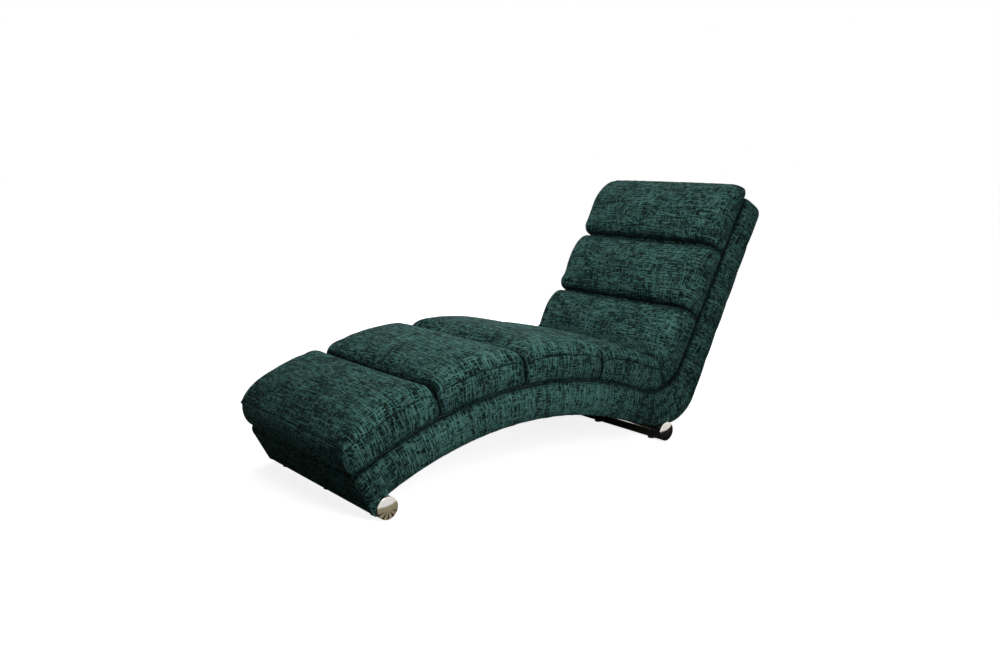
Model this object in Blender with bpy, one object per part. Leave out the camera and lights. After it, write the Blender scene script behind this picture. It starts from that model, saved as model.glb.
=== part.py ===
"""Upholstered chaise longue: an arched plywood base in padded covers, seven channel pads, two tube feet.

Metres, +Z up. X runs from the foot end to the head end and Y across. While the pieces are made, X is
measured from the crown of the arch; the root empty then moves the origin under the middle of the object.
"""

import math
from dataclasses import dataclass

import bmesh
import bpy
from mathutils import Matrix, Vector

# Base, seen from the side
BASE_WIDTH = 0.590  # over the padded side panels
LEG_RADIUS = 1.200  # of the arched top
SEAT_DEPTH = 0.100  # thickness of the base along the arch
FOOT_ANGLE = math.radians(28.1)  # round the arch, from its crown to the foot end
ARCH_END_ANGLE = math.radians(16.6)  # where the underside leaves the arch on its way to the heel
BACK_START = 0.567  # from the crown to where the line of the back meets the arch
BACK_RECLINE = math.radians(29.4)  # from the vertical
BACK_LENGTH = 0.718  # along the front of the back
HEEL_DEPTH = 0.116  # thickness of the base at the foot of the back
HEAD_DEPTH = 0.096  # thickness of the base at its head end
DIP_RADIUS = 0.150  # where the seat turns up into the back
HEEL_RADIUS = 0.145  # where the underside turns up into the rear
END_RADIUS = 0.020  # upper corner of the foot end, and front corner of the head end
HEAD_REAR_RADIUS = 0.025

# Covers and boards
COVER_THICKNESS = 0.004  # fabric and its lining
SIDE_PADDING = 0.015  # fabric and foam on the side boards
SIDE_EDGE_RADIUS = 0.011
BOARD_THICKNESS = 0.018
RAIL_THICKNESS = 0.022
CALF_RAIL_AFTER = 2  # springs before the rail, which lies midway to the next spring
THIGH_RAIL_AFTER = 4
LUMBAR_RAIL_AT = 0.090  # along the back, from where it leaves the dip
HEAD_RAIL_AT = 0.040  # along the back, from the head end
BLOCK_HEIGHT = 0.045  # rail over a tube, above the top of the tube
BLOCK_OUTER = 0.012  # from the tube's axis towards the end of the base
BLOCK_INNER = 0.038  # from the tube's axis towards the arch

# Springs and straps
WIRE_DIAMETER = 0.0036
SPRING_COUNT = 5
SPRING_FIRST_AT = 0.165  # along the seat line, from the foot end
SPRING_PITCH = 0.180
SPRING_SWING = 0.022  # of the wire to each side
SPRING_BENDS = 10
SPRING_STRAIGHT = 0.014  # run of wire before the first bend
SPRING_HOLD = 0.010  # depth of the wire in its board
STRAP_COUNT = 4
STRAP_WIDTH = 0.050
STRAP_THICKNESS = 0.002
STRAP_TAB = 0.030

# Pads
PAD_OVERHANG = 0.001  # of the pads past each side of the base
SEAT_PAD_HEIGHT = 0.107  # at the sides of the pads from foot to seat, above the base
LUMBAR_PAD_HEIGHT = 0.114  # the same on the back
MIDDLE_PAD_HEIGHT = 0.104
HEAD_PAD_HEIGHT = 0.096
PAD_CROWN = 0.014  # more than that in the middle
PAD_LEAN = 0.30  # share by which the crown lies towards the foot end
PAD_COVER = 0.004
PAD_SIDE_RADIUS = 0.030
PAD_TUCK = 0.010  # by which the sides are drawn in at the deck
PAD_SWELL = 0.55  # height of the widest line, as a share of the height under the rounded edge
PAD_CORNER_DRAW = 0.010  # by which the sides are drawn in at a pad's ends
PAD_CORNER_LENGTH = 0.032
FOOT_PAD = 0.283
CALF_PAD = 0.286
THIGH_PAD = 0.288
MIDDLE_PAD = 0.220
HEAD_PAD = 0.215
FOOT_OVERHANG = -0.004
HEAD_OVERHANG = 0.020
GROOVE_ROUND = 0.042  # length over which a pad falls towards the next one
GROOVE_DROP = 0.032
DIP_ROUND = 0.070  # the same at the dip
DIP_DROP = 0.026
FOOT_ROUND = 0.075  # the same at the foot end
FOOT_DROP = 0.026
HEAD_ROUND = 0.110  # the same at the head end
HEAD_DROP = 0.038
END_BULGE = 0.012  # by which the foot end and the head end swell
END_BULGE_RIM = 0.022

# Tube feet
TUBE_DIAMETER = 0.060
TUBE_WALL = 0.002
TUBE_OVERHANG = 0.004  # past each side of the base
REAR_TUBE_SETBACK = 0.017  # from the lowest point of the heel
FRONT_NEST = 0.005  # depth to which a tube sits in the base
REAR_NEST = 0.0105
TOE_END_ANGLE = math.radians(55)  # from straight down, where the foot end's cover stops
TOE_ROOT = 0.020  # up the foot end from the front of the tube, where the side boards start
CAP_RIM = 0.002
CAP_DOME = 0.004
CAP_PLUG = 0.016
GLIDE_HEIGHT = 0.004
GLIDE_RADIUS = 0.012
GLIDE_CHAMFER = 0.001
GLIDE_STEM_RADIUS = 0.0075
GLIDE_STEM_REACH = 0.006  # past the wall of the tube
FIXING_COUNT = 3  # glides under a tube, each with a bolt over it
FIXING_EDGE = 0.022  # from the side boards to the outer ones
BOLT_RADIUS = 0.004
BOLT_HEAD_RADIUS = 0.0065
BOLT_HEAD_HEIGHT = 0.005
BOLT_TIP_MARGIN = 0.008  # wood left over the tip of a bolt

# Fits
CLEARANCE = 0.0003  # between flat neighbours
CURVED_CLEARANCE = 0.0006  # between curved neighbours

# Counts
CORNER_STEPS = 4
SIDE_EDGE_STEPS = 2
DIP_STEPS = 8
HEEL_STEPS = 6
LEG_STEPS = 18
ARCH_STEPS = 14
UNDER_STEPS = 5
TUBE_SIDES = 32
CAP_RINGS = 3
SMALL_SIDES = 12
PAD_ROUND_STEPS = 3
PAD_MIDDLE_STEPS = 3
PAD_SIDE_STEPS = 3
PAD_TOP_STEPS = 6
BEND_POINTS = 3

# Mesh settings
SMOOTH_ANGLE = math.radians(35)  # sharper edges stay sharp
MERGE_DISTANCE = 1e-6

# Sizes that follow
TUBE_RADIUS = TUBE_DIAMETER / 2
TUBE_AXIS_HEIGHT = GLIDE_HEIGHT + TUBE_RADIUS
TUBE_TOP = GLIDE_HEIGHT + TUBE_DIAMETER
ARCH_RADIUS = LEG_RADIUS - SEAT_DEPTH
TOE_RADIUS = TUBE_RADIUS + CURVED_CLEARANCE + COVER_THICKNESS  # of the cover round the front tube
FRONT_TUBE_ANGLE = FOOT_ANGLE - math.asin(
    (TOE_RADIUS + (TUBE_RADIUS - FRONT_NEST) * math.sin(FOOT_ANGLE)) / ARCH_RADIUS
)
FRONT_TUBE_X = -ARCH_RADIUS * math.sin(FRONT_TUBE_ANGLE)
LEG_CENTRE = Vector((0.0, TUBE_TOP - FRONT_NEST - math.sqrt(ARCH_RADIUS**2 - FRONT_TUBE_X**2)))
PANEL_HALF = BASE_WIDTH / 2 - SIDE_PADDING - CLEARANCE  # outer faces of the side boards
BOARD_INNER = PANEL_HALF - BOARD_THICKNESS
RAIL_HALF = BOARD_INNER - CLEARANCE
BOARD_INSET = COVER_THICKNESS + CLEARANCE
RAIL_INSET = COVER_THICKNESS + CURVED_CLEARANCE
PAD_WIDTH = BASE_WIDTH + 2 * PAD_OVERHANG
TUBE_LENGTH = BASE_WIDTH + 2 * TUBE_OVERHANG
FIXING_PITCH = 2 * (BOARD_INNER - FIXING_EDGE) / (FIXING_COUNT - 1)

FINISHES = {
    "teal_fabric": ((0.026, 0.075, 0.075), 0.90, 0.0),
    "dust_cloth": ((0.010, 0.010, 0.011), 0.95, 0.0),
    "lining": ((0.55, 0.53, 0.48), 0.90, 0.0),
    "foam": ((0.80, 0.76, 0.60), 0.95, 0.0),
    "plywood": ((0.60, 0.44, 0.27), 0.65, 0.0),
    "spring_steel": ((0.35, 0.35, 0.36), 0.40, 1.0),
    "webbing": ((0.05, 0.05, 0.05), 0.90, 0.0),
    "chrome": ((0.78, 0.77, 0.75), 0.08, 1.0),
    "black_plastic": ((0.015, 0.015, 0.016), 0.50, 0.0),
    "zinc": ((0.60, 0.61, 0.63), 0.35, 1.0),
}


def clear_scene():
    """Removes every object of the scene."""
    for obj in list(bpy.data.objects):
        bpy.data.objects.remove(obj, do_unlink=True)


def finish_material(name):
    """The material of a finish, made at its first use."""
    material = bpy.data.materials.get(name)
    if material is None:
        colour, roughness, metallic = FINISHES[name]
        material = bpy.data.materials.new(name)
        material.use_nodes = True
        shader = material.node_tree.nodes["Principled BSDF"]
        shader.inputs["Base Color"].default_value = (*colour, 1.0)
        shader.inputs["Roughness"].default_value = roughness
        shader.inputs["Metallic"].default_value = metallic
    return material


def add_object(name, data, finish, parent):
    """Links an object for this mesh or curve, in its finish, under its parent."""
    if not data.materials:
        data.materials.append(finish_material(finish))
    obj = bpy.data.objects.new(name, data)
    bpy.context.scene.collection.objects.link(obj)
    obj.parent = parent
    return obj


def add_cutter(name, bm):
    """An object that only cuts others."""
    mesh = bpy.data.meshes.new(name)
    bm.to_mesh(mesh)
    bm.free()
    obj = bpy.data.objects.new(name, mesh)
    bpy.context.scene.collection.objects.link(obj)
    obj.hide_render = True
    obj.display_type = "WIRE"
    return obj


def add_empty(name, parent=None):
    """An empty that other objects hang from."""
    obj = bpy.data.objects.new(name, None)
    bpy.context.scene.collection.objects.link(obj)
    obj.parent = parent
    return obj


def mesh_of(name, bm):
    """A mesh from bmesh geometry, facing out and shaded smooth up to an angle."""
    bmesh.ops.recalc_face_normals(bm, faces=bm.faces)
    mesh = bpy.data.meshes.new(name)
    bm.to_mesh(mesh)
    bm.free()
    mesh.shade_smooth()
    mesh.set_sharp_from_angle(angle=SMOOTH_ANGLE)
    return mesh


def add_boolean(obj, cutter, operation="DIFFERENCE"):
    """Cuts the object with a cutter, or joins it to one."""
    modifier = obj.modifiers.new(cutter.name, "BOOLEAN")
    modifier.operation = operation
    modifier.object = cutter
    modifier.solver = "EXACT"


def baked_mesh(obj):
    """The object's mesh with its modifiers applied; the object itself is removed."""
    graph = bpy.context.evaluated_depsgraph_get()
    mesh = bpy.data.meshes.new_from_object(obj.evaluated_get(graph))
    bpy.data.objects.remove(obj, do_unlink=True)
    return mesh


def direction_at(angle):
    """The unit vector at an angle."""
    return Vector((math.cos(angle), math.sin(angle)))


def angle_of(direction):
    """The angle of a vector."""
    return math.atan2(direction.y, direction.x)


def arc(centre, radius, start, end, steps, body_inside=True):
    """Points of a round stretch, each with the direction into the body, clockwise round the base."""
    first, last = angle_of(start), angle_of(end)
    if body_inside and last > first:
        last -= math.tau
    if not body_inside and last < first:
        last += math.tau
    pairs = []
    for step in range(steps + 1):
        outward = direction_at(first + (last - first) * step / steps)
        pairs.append((centre + outward * radius, -outward if body_inside else outward))
    return pairs


def crossing(point, direction, other_point, other_direction):
    """The point where two lines meet."""
    gap = other_point - point
    along = gap.cross(other_direction) / direction.cross(other_direction)
    return point + direction * along


def line_to_circle(point, direction, centre, radius):
    """The far point at which a line leaves a circle."""
    foot = point + direction * (centre - point).dot(direction)
    return foot + direction * math.sqrt(radius**2 - (foot - centre).length_squared)


class BaseProfile:
    """The side view of the base: arched leg rest, dip, reclined back, heel and arch."""

    def __init__(self):
        self.up_back = Vector((math.sin(BACK_RECLINE), math.cos(BACK_RECLINE)))
        self.rearward = Vector((math.cos(BACK_RECLINE), -math.sin(BACK_RECLINE)))
        self.back_corner = LEG_CENTRE + Vector((BACK_START, math.sqrt(LEG_RADIUS**2 - BACK_START**2)))
        self.head_corner = self.back_corner + self.up_back * BACK_LENGTH
        self.rear_low = self.back_corner + self.rearward * HEEL_DEPTH
        rear_high = self.head_corner + self.rearward * HEAD_DEPTH
        self.rear_down = (self.rear_low - rear_high).normalized()
        self.rear_inward = Vector((self.rear_down.y, -self.rear_down.x))
        self.dip_centre = line_to_circle(
            self.back_corner - self.rearward * DIP_RADIUS, self.up_back, LEG_CENTRE, LEG_RADIUS + DIP_RADIUS
        )
        self.heel_centre = self._heel_centre()
        self.stretches = self._stretches()
        self._measure_seat_line()

    def _heel_centre(self):
        """Centre of the heel, whose lowest point rests in the rear tube's nest."""
        start = self.rear_low + self.rear_inward * HEEL_RADIUS
        height = TUBE_TOP - REAR_NEST + HEEL_RADIUS
        return start + self.rear_down * (height - start.y) / self.rear_down.y

    def _stretches(self):
        """The outline's stretches, clockwise from the toe, where the foot end wraps the front tube."""
        foot_out = Vector((-math.sin(FOOT_ANGLE), math.cos(FOOT_ANGLE)))
        to_crown = Vector((math.cos(FOOT_ANGLE), math.sin(FOOT_ANGLE)))
        tube = Vector((FRONT_TUBE_X, TUBE_AXIS_HEIGHT))
        toe_end = Vector((-math.sin(TOE_END_ANGLE), -math.cos(TOE_END_ANGLE)))
        toe_root = tube - to_crown * TOE_RADIUS + foot_out * TOE_ROOT
        top_reach = math.sqrt((LEG_RADIUS - END_RADIUS) ** 2 - END_RADIUS**2)
        foot_top = LEG_CENTRE + foot_out * top_reach + to_crown * END_RADIUS
        head_front = self.head_corner + (self.rearward - self.up_back) * END_RADIUS
        head_rear = crossing(
            self.head_corner - self.up_back * HEAD_REAR_RADIUS,
            self.rearward,
            self.rear_low + self.rear_inward * HEAD_REAR_RADIUS,
            self.rear_down,
        )
        down = Vector((0.0, -1.0))
        arch_end = Vector((math.sin(ARCH_END_ANGLE), math.cos(ARCH_END_ANGLE)))
        to_tube = Vector((-math.sin(FRONT_TUBE_ANGLE), math.cos(FRONT_TUBE_ANGLE)))
        to_top = foot_top - LEG_CENTRE
        to_dip = self.dip_centre - LEG_CENTRE
        return {
            "toe": arc(tube, TOE_RADIUS, toe_end, -to_crown, CORNER_STEPS),
            "toe_root": [(toe_root, to_crown)],
            "foot_top": arc(foot_top, END_RADIUS, -to_crown, to_top, CORNER_STEPS),
            "leg": arc(LEG_CENTRE, LEG_RADIUS, to_top, to_dip, LEG_STEPS)[1:-1],
            "dip": arc(self.dip_centre, DIP_RADIUS, -to_dip, self.rearward, DIP_STEPS, body_inside=False),
            "head_front": arc(head_front, END_RADIUS, -self.rearward, self.up_back, CORNER_STEPS),
            "head_rear": arc(
                head_rear, HEAD_REAR_RADIUS, self.up_back, -self.rear_inward, CORNER_STEPS
            ),
            "heel": arc(self.heel_centre, HEEL_RADIUS, -self.rear_inward, down, HEEL_STEPS),
            "under": self._under(arch_end)[1:-1],
            "arch": arc(LEG_CENTRE, ARCH_RADIUS, arch_end, to_tube, ARCH_STEPS, body_inside=False),
        }

    def _under(self, arch_end):
        """The smooth run of the underside from the heel to the arch."""
        start = self.heel_centre - Vector((0.0, HEEL_RADIUS))
        end = LEG_CENTRE + arch_end * ARCH_RADIUS
        handle = (end - start).length / 3
        points = (
            start,
            start - Vector((handle, 0.0)),
            end + Vector((arch_end.y, -arch_end.x)) * handle,
            end,
        )
        pairs = []
        for step in range(UNDER_STEPS + 1):
            along = step / UNDER_STEPS
            rest = 1 - along
            weights = (rest**3, 3 * rest**2 * along, 3 * rest * along**2, along**3)
            place = sum((point * weight for point, weight in zip(points, weights)), Vector((0.0, 0.0)))
            slopes = (rest**2, 2 * rest * along, along**2)
            travel = Vector((0.0, 0.0))
            for number, slope in enumerate(slopes):
                travel += (points[number + 1] - points[number]) * slope
            travel.normalize()
            pairs.append((place, Vector((travel.y, -travel.x))))
        return pairs

    def _measure_seat_line(self):
        """Lengths along the seat line: up the arch, through the dip and up the back."""
        to_dip = self.dip_centre - LEG_CENTRE
        self.leg_length = LEG_RADIUS * (FOOT_ANGLE + math.atan2(to_dip.x, to_dip.y))
        self.dip_from = angle_of(-to_dip)
        self.dip_length = DIP_RADIUS * (angle_of(self.rearward) - self.dip_from)
        self.back_start = self.dip_centre + self.rearward * DIP_RADIUS
        self.mid_dip = self.leg_length + self.dip_length / 2
        self.back_from = self.leg_length + self.dip_length
        self.head_at = self.back_from + (self.head_corner - self.back_start).length

    def outline(self, inset=0.0, names=None):
        """The outline, or some of its stretches, moved into the body by an inset."""
        return [
            point + inward * inset
            for name in (names or self.stretches)
            for point, inward in self.stretches[name]
        ]

    def place(self, along, height):
        """The point at a length along the seat line and a height over it."""
        if along <= self.leg_length:
            angle = along / LEG_RADIUS - FOOT_ANGLE
            return LEG_CENTRE + Vector((math.sin(angle), math.cos(angle))) * (LEG_RADIUS + height)
        if along <= self.back_from:
            angle = self.dip_from + (along - self.leg_length) / DIP_RADIUS
            return self.dip_centre + direction_at(angle) * (DIP_RADIUS - height)
        return self.back_start + self.up_back * (along - self.back_from) - self.rearward * height

    def underside(self, x, inset):
        """Height of the underside, moved in by an inset, at a place from the front tube to the heel."""
        points = self.outline(inset, ("heel", "under", "arch"))
        heights = []
        for start, end in zip(points, points[1:]):
            if min(start.x, end.x) <= x <= max(start.x, end.x) and start.x != end.x:
                heights.append(start.y + (end.y - start.y) * (x - start.x) / (end.x - start.x))
        return min(heights)


PROFILE = BaseProfile()
REAR_TUBE_X = PROFILE.heel_centre.x - REAR_TUBE_SETBACK


def extruded(points, low, high):
    """A plate with this side view, from one place across to another."""
    bm = bmesh.new()
    face = bm.faces.new([bm.verts.new((point.x, low, point.y)) for point in points])
    grown = bmesh.ops.extrude_face_region(bm, geom=[face])
    moved = [item for item in grown["geom"] if isinstance(item, bmesh.types.BMVert)]
    bmesh.ops.translate(bm, verts=moved, vec=(0.0, high - low, 0.0))
    return bm


def strip(outer, inner, half_width):
    """A sheet that follows the outline, between an outer and an inner line."""
    bm = bmesh.new()
    rows = [
        (bm.verts.new((far.x, -half_width, far.y)), bm.verts.new((near.x, -half_width, near.y)))
        for far, near in zip(outer, inner)
    ]
    faces = [
        bm.faces.new((first[0], second[0], second[1], first[1])) for first, second in zip(rows, rows[1:])
    ]
    grown = bmesh.ops.extrude_face_region(bm, geom=faces)
    moved = [item for item in grown["geom"] if isinstance(item, bmesh.types.BMVert)]
    bmesh.ops.translate(bm, verts=moved, vec=(0.0, 2 * half_width, 0.0))
    return bm


def turned(profile, sides):
    """A solid turned round Z from a profile of (radius, height), with flats, not edges, towards X and Y."""
    bm = bmesh.new()
    verts = [bm.verts.new((radius, 0.0, height)) for radius, height in profile]
    edges = [bm.edges.new(pair) for pair in zip(verts, verts[1:])]
    bmesh.ops.spin(
        bm, geom=verts + edges, cent=(0, 0, 0), axis=(0, 0, 1), angle=math.tau, steps=sides, use_merge=True
    )
    bmesh.ops.remove_doubles(bm, verts=bm.verts, dist=MERGE_DISTANCE)
    bmesh.ops.rotate(bm, verts=bm.verts, matrix=Matrix.Rotation(math.pi / sides, 3, "Z"))
    bmesh.ops.recalc_face_normals(bm, faces=bm.faces)
    return bm


def rod(radius, low, high, sides):
    """A plain round rod along Z."""
    return turned([(0.0, high), (radius, high), (radius, low), (0.0, low)], sides)


def across(bm):
    """Turns geometry that was made along Z to lie along Y."""
    bmesh.ops.rotate(bm, verts=bm.verts, matrix=Matrix.Rotation(-math.pi / 2, 3, "X"))
    return bm


def saddle_cutters():
    """The round nests of the two tubes, which everything that they meet is cut by."""
    cutters = []
    for name, x in (("front_saddle", FRONT_TUBE_X), ("rear_saddle", REAR_TUBE_X)):
        bm = across(rod(TUBE_RADIUS + CLEARANCE, -BASE_WIDTH, BASE_WIDTH, TUBE_SIDES))
        bmesh.ops.translate(bm, verts=bm.verts, vec=(x, 0.0, TUBE_AXIS_HEIGHT))
        cutters.append(add_cutter(name, bm))
    return cutters


def spring_places():
    """Where the springs cross, along the seat line."""
    return [SPRING_FIRST_AT + number * SPRING_PITCH for number in range(SPRING_COUNT)]


def spring_depth():
    """Height of the middle of a spring's wire over the seat line, which is below it."""
    return -(COVER_THICKNESS + CURVED_CLEARANCE + WIRE_DIAMETER / 2)


def spring_hole_cutter():
    """The blind holes for the springs, as rods that run from one board into the other."""
    bm = bmesh.new()
    for along in spring_places():
        reach = BOARD_INNER + SPRING_HOLD + CLEARANCE
        hole = across(rod(WIRE_DIAMETER / 2 + CLEARANCE, -reach, reach, SMALL_SIDES))
        centre = PROFILE.place(along, spring_depth())
        bmesh.ops.translate(hole, verts=hole.verts, vec=(centre.x, 0.0, centre.y))
        mesh = bpy.data.meshes.new("spring_hole")
        hole.to_mesh(mesh)
        hole.free()
        bm.from_mesh(mesh)
        bpy.data.meshes.remove(mesh)
    return add_cutter("spring_holes", bm)


def build_boards(root, saddles):
    """The two plywood side boards."""
    holes = spring_hole_cutter()
    points = PROFILE.outline(BOARD_INSET, [name for name in PROFILE.stretches if name != "toe"])
    for name, low, high in (
        ("side_board_near", -PANEL_HALF, -BOARD_INNER),
        ("side_board_far", BOARD_INNER, PANEL_HALF),
    ):
        board = add_object(name, mesh_of(name, extruded(points, low, high)), "plywood", root)
        for cutter in (*saddles, holes):
            add_boolean(board, cutter)


def padded_panel(inner, outer):
    """A side panel between two places across, with a soft edge round its outer face."""
    outward = math.copysign(1.0, outer - inner)
    rings = [(0.0, inner)]
    for step in range(SIDE_EDGE_STEPS + 1):
        turn = math.pi / 2 * step / SIDE_EDGE_STEPS
        inset = SIDE_EDGE_RADIUS * (1 - math.cos(turn))
        rings.append((inset, outer - outward * SIDE_EDGE_RADIUS * (1 - math.sin(turn))))
    bm = bmesh.new()
    loops = [[bm.verts.new((spot.x, y, spot.y)) for spot in PROFILE.outline(inset)] for inset, y in rings]
    for loop, following in zip(loops, loops[1:]):
        for number in range(len(loop)):
            bm.faces.new((loop[number - 1], loop[number], following[number], following[number - 1]))
    bm.faces.new(loops[0])
    bm.faces.new(loops[-1])
    return bm


def build_side_covers(root, saddles):
    """The padded side panels."""
    half = BASE_WIDTH / 2
    for name, inner, outer in (
        ("side_cover_near", -half + SIDE_PADDING, -half),
        ("side_cover_far", half - SIDE_PADDING, half),
    ):
        cover = add_object(name, mesh_of(name, padded_panel(inner, outer)), "teal_fabric", root)
        for cutter in saddles:
            add_boolean(cover, cutter)


def split_underside(x):
    """The pair of points, outer and inner, where the underside passes a place along X."""
    outer = Vector((x, PROFILE.underside(x, 0.0)))
    return outer, outer + Vector((0.0, COVER_THICKNESS))


def trimmed(points):
    """A line of points with half a clearance taken off each end."""
    first = (points[1] - points[0]).normalized() * CLEARANCE / 2
    last = (points[-2] - points[-1]).normalized() * CLEARANCE / 2
    return [points[0] + first, *points[1:-1], points[-1] + last]


def add_sheet(name, outer, inner, finish, root, cutters=()):
    """A cover or deck cloth between an outer and an inner line."""
    bm = strip(trimmed(outer), trimmed(inner), PANEL_HALF)
    sheet = add_object(name, mesh_of(name, bm), finish, root)
    for cutter in cutters:
        add_boolean(sheet, cutter)


def sheet_lines(names, start=None, end=None):
    """Outer and inner lines of a sheet over these stretches, with extra pairs at its ends."""
    outer, inner = PROFILE.outline(0.0, names), PROFILE.outline(COVER_THICKNESS, names)
    if start:
        outer.insert(0, start[0])
        inner.insert(0, start[1])
    if end:
        outer.append(end[0])
        inner.append(end[1])
    return outer, inner


def build_sheets(root, saddles):
    """The covers round the base and the deck cloths under the pads."""
    front_split = split_underside(FRONT_TUBE_X + BOLT_RADIUS + CURVED_CLEARANCE)
    rear_split = split_underside(REAR_TUBE_X)

    add_sheet("foot_end_cover", *sheet_lines(("toe", "toe_root", "foot_top")), "teal_fabric", root)
    add_sheet(
        "back_cover",
        *sheet_lines(("head_front", "head_rear", "heel"), end=rear_split),
        "teal_fabric",
        root,
        saddles[1:],
    )
    below = [pair for pair in PROFILE.stretches["under"] if pair[0].x < REAR_TUBE_X]
    below += [pair for pair in PROFILE.stretches["arch"] if pair[0].x > front_split[0].x]
    outer = [rear_split[0], *(point for point, _ in below), front_split[0]]
    inner = [rear_split[1], *(point + inward * COVER_THICKNESS for point, inward in below), front_split[1]]
    add_sheet("dust_cloth", outer, inner, "dust_cloth", root, saddles)

    half_dip = DIP_STEPS // 2
    outer, inner = sheet_lines(("leg", "dip"), start=sheet_ends("foot_top", -1))
    kept = len(outer) - half_dip
    add_sheet("seat_deck", outer[:kept], inner[:kept], "lining", root)
    outer, inner = sheet_lines(("dip",), end=sheet_ends("head_front", 0))
    outer, inner = outer[half_dip:], inner[half_dip:]
    add_sheet("back_deck", outer, inner, "lining", root)


def sheet_ends(name, index):
    """The outer and inner point at one end of a stretch."""
    point, inward = PROFILE.stretches[name][index]
    return point, point + inward * COVER_THICKNESS


def add_rail(name, along, lower_point, lower_direction, root):
    """A cross rail, square to the seat line, from the deck cloth down to the cover below."""
    half = RAIL_THICKNESS / 2
    top, bottom = [], []
    for place in (along - half, along + half):
        start = PROFILE.place(place, -RAIL_INSET)
        inward = (PROFILE.place(place, -SEAT_DEPTH) - start).normalized()
        top.append(start)
        bottom.append(crossing(start, inward, lower_point, lower_direction))
    points = [top[0], top[1], bottom[1], bottom[0]]
    add_object(name, mesh_of(name, extruded(points, -RAIL_HALF, RAIL_HALF)), "plywood", root)


def back_rail_places():
    """Where the two rails of the back lie, along the seat line."""
    return PROFILE.back_from + LUMBAR_RAIL_AT, PROFILE.head_at - HEAD_RAIL_AT


def build_rails(root):
    """The rails of the leg rest and of the back."""
    for name, springs in (("calf_rail", CALF_RAIL_AFTER), ("thigh_rail", THIGH_RAIL_AFTER)):
        along = SPRING_FIRST_AT + (springs - 0.5) * SPRING_PITCH
        angle = along / LEG_RADIUS - FOOT_ANGLE
        under = LEG_CENTRE + Vector((math.sin(angle), math.cos(angle))) * (ARCH_RADIUS + RAIL_INSET)
        add_rail(name, along, under, Vector((math.cos(angle), -math.sin(angle))), root)
    rear = PROFILE.rear_low + PROFILE.rear_inward * RAIL_INSET
    for name, along in zip(("lumbar_rail", "head_rail"), back_rail_places()):
        add_rail(name, along, rear, PROFILE.rear_down, root)


def bolt_seat():
    """Height over the tube's axis of the flat under side of a bolt's head, inside the tube."""
    inner = TUBE_RADIUS - TUBE_WALL
    return math.sqrt(inner**2 - BOLT_HEAD_RADIUS**2) - CLEARANCE


def bolt_reach():
    """Length of a bolt under its head, which ends in the rail."""
    return TUBE_RADIUS + BLOCK_HEIGHT - BOLT_TIP_MARGIN - bolt_seat()


def fixing_places():
    """Where the bolts and glides sit across the width."""
    return [(number - (FIXING_COUNT - 1) / 2) * FIXING_PITCH for number in range(FIXING_COUNT)]


def build_tube_rail(name, x, to_arch, root, saddle):
    """The rail over a tube, cut to the round of the tube and bored for its bolts."""
    ends = sorted((x - to_arch * BLOCK_OUTER, x + to_arch * BLOCK_INNER))
    low = [PROFILE.underside(max(end, FRONT_TUBE_X), RAIL_INSET) for end in ends]
    top = TUBE_TOP + BLOCK_HEIGHT
    points = [
        Vector((ends[0], low[0])),
        Vector((ends[0], top)),
        Vector((ends[1], top)),
        Vector((ends[1], low[1])),
    ]
    rail = add_object(name, mesh_of(name, extruded(points, -RAIL_HALF, RAIL_HALF)), "plywood", root)
    add_boolean(rail, saddle)
    tip = TUBE_AXIS_HEIGHT + bolt_seat() + bolt_reach() + CLEARANCE
    for number, y in enumerate(fixing_places(), 1):
        bm = rod(BOLT_RADIUS + CLEARANCE, TUBE_AXIS_HEIGHT, tip, SMALL_SIDES)
        bmesh.ops.translate(bm, verts=bm.verts, vec=(x, y, 0.0))
        add_boolean(rail, add_cutter(f"{name}_bore_{number}", bm))


def build_springs(root):
    """Sinuous wire springs across the seat, each with straight ends in the boards."""
    half = BOARD_INNER - SPRING_STRAIGHT
    count = SPRING_BENDS * BEND_POINTS
    for number, along in enumerate(spring_places(), 1):
        route = [(-BOARD_INNER - SPRING_HOLD, 0.0), (-half, 0.0)]
        for step in range(1, count):
            swing = SPRING_SWING * math.sin(math.pi * SPRING_BENDS * step / count)
            route.append((half * (2 * step / count - 1), swing))
        route += [(half, 0.0), (BOARD_INNER + SPRING_HOLD, 0.0)]

        curve = bpy.data.curves.new(f"spring_{number}", "CURVE")
        curve.dimensions = "3D"
        curve.bevel_depth = WIRE_DIAMETER / 2
        curve.bevel_resolution = 1
        curve.use_fill_caps = True
        spline = curve.splines.new("POLY")
        spline.points.add(len(route) - 1)
        for point, (y, swing) in zip(spline.points, route):
            spot = PROFILE.place(along + swing, spring_depth())
            point.co = (spot.x, y, spot.y, 1.0)
        add_object(f"spring_{number}", curve, "spring_steel", root)


def build_straps(root):
    """Webbing straps across the back, with their ends turned down onto the boards."""
    top = -(COVER_THICKNESS + CLEARANCE)
    tab, under = top - STRAP_TAB, top - STRAP_THICKNESS
    outer, inner = RAIL_HALF, RAIL_HALF - STRAP_THICKNESS
    section = [(-outer, tab), (-outer, top), (outer, top), (outer, tab)]
    section += [(inner, tab), (inner, under), (-inner, under), (-inner, tab)]
    lumbar_at, head_at = back_rail_places()
    for number in range(1, STRAP_COUNT + 1):
        along = lumbar_at + (head_at - lumbar_at) * number / (STRAP_COUNT + 1)
        bm = bmesh.new()
        verts = []
        for y, height in section:
            spot = PROFILE.place(along - STRAP_WIDTH / 2, height)
            verts.append(bm.verts.new((spot.x, y, spot.y)))
        grown = bmesh.ops.extrude_face_region(bm, geom=[bm.faces.new(verts)])
        moved = [item for item in grown["geom"] if isinstance(item, bmesh.types.BMVert)]
        step = PROFILE.up_back * STRAP_WIDTH
        bmesh.ops.translate(bm, verts=moved, vec=(step.x, 0.0, step.y))
        name = f"back_strap_{number}"
        add_object(name, mesh_of(name, bm), "webbing", root)


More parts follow.
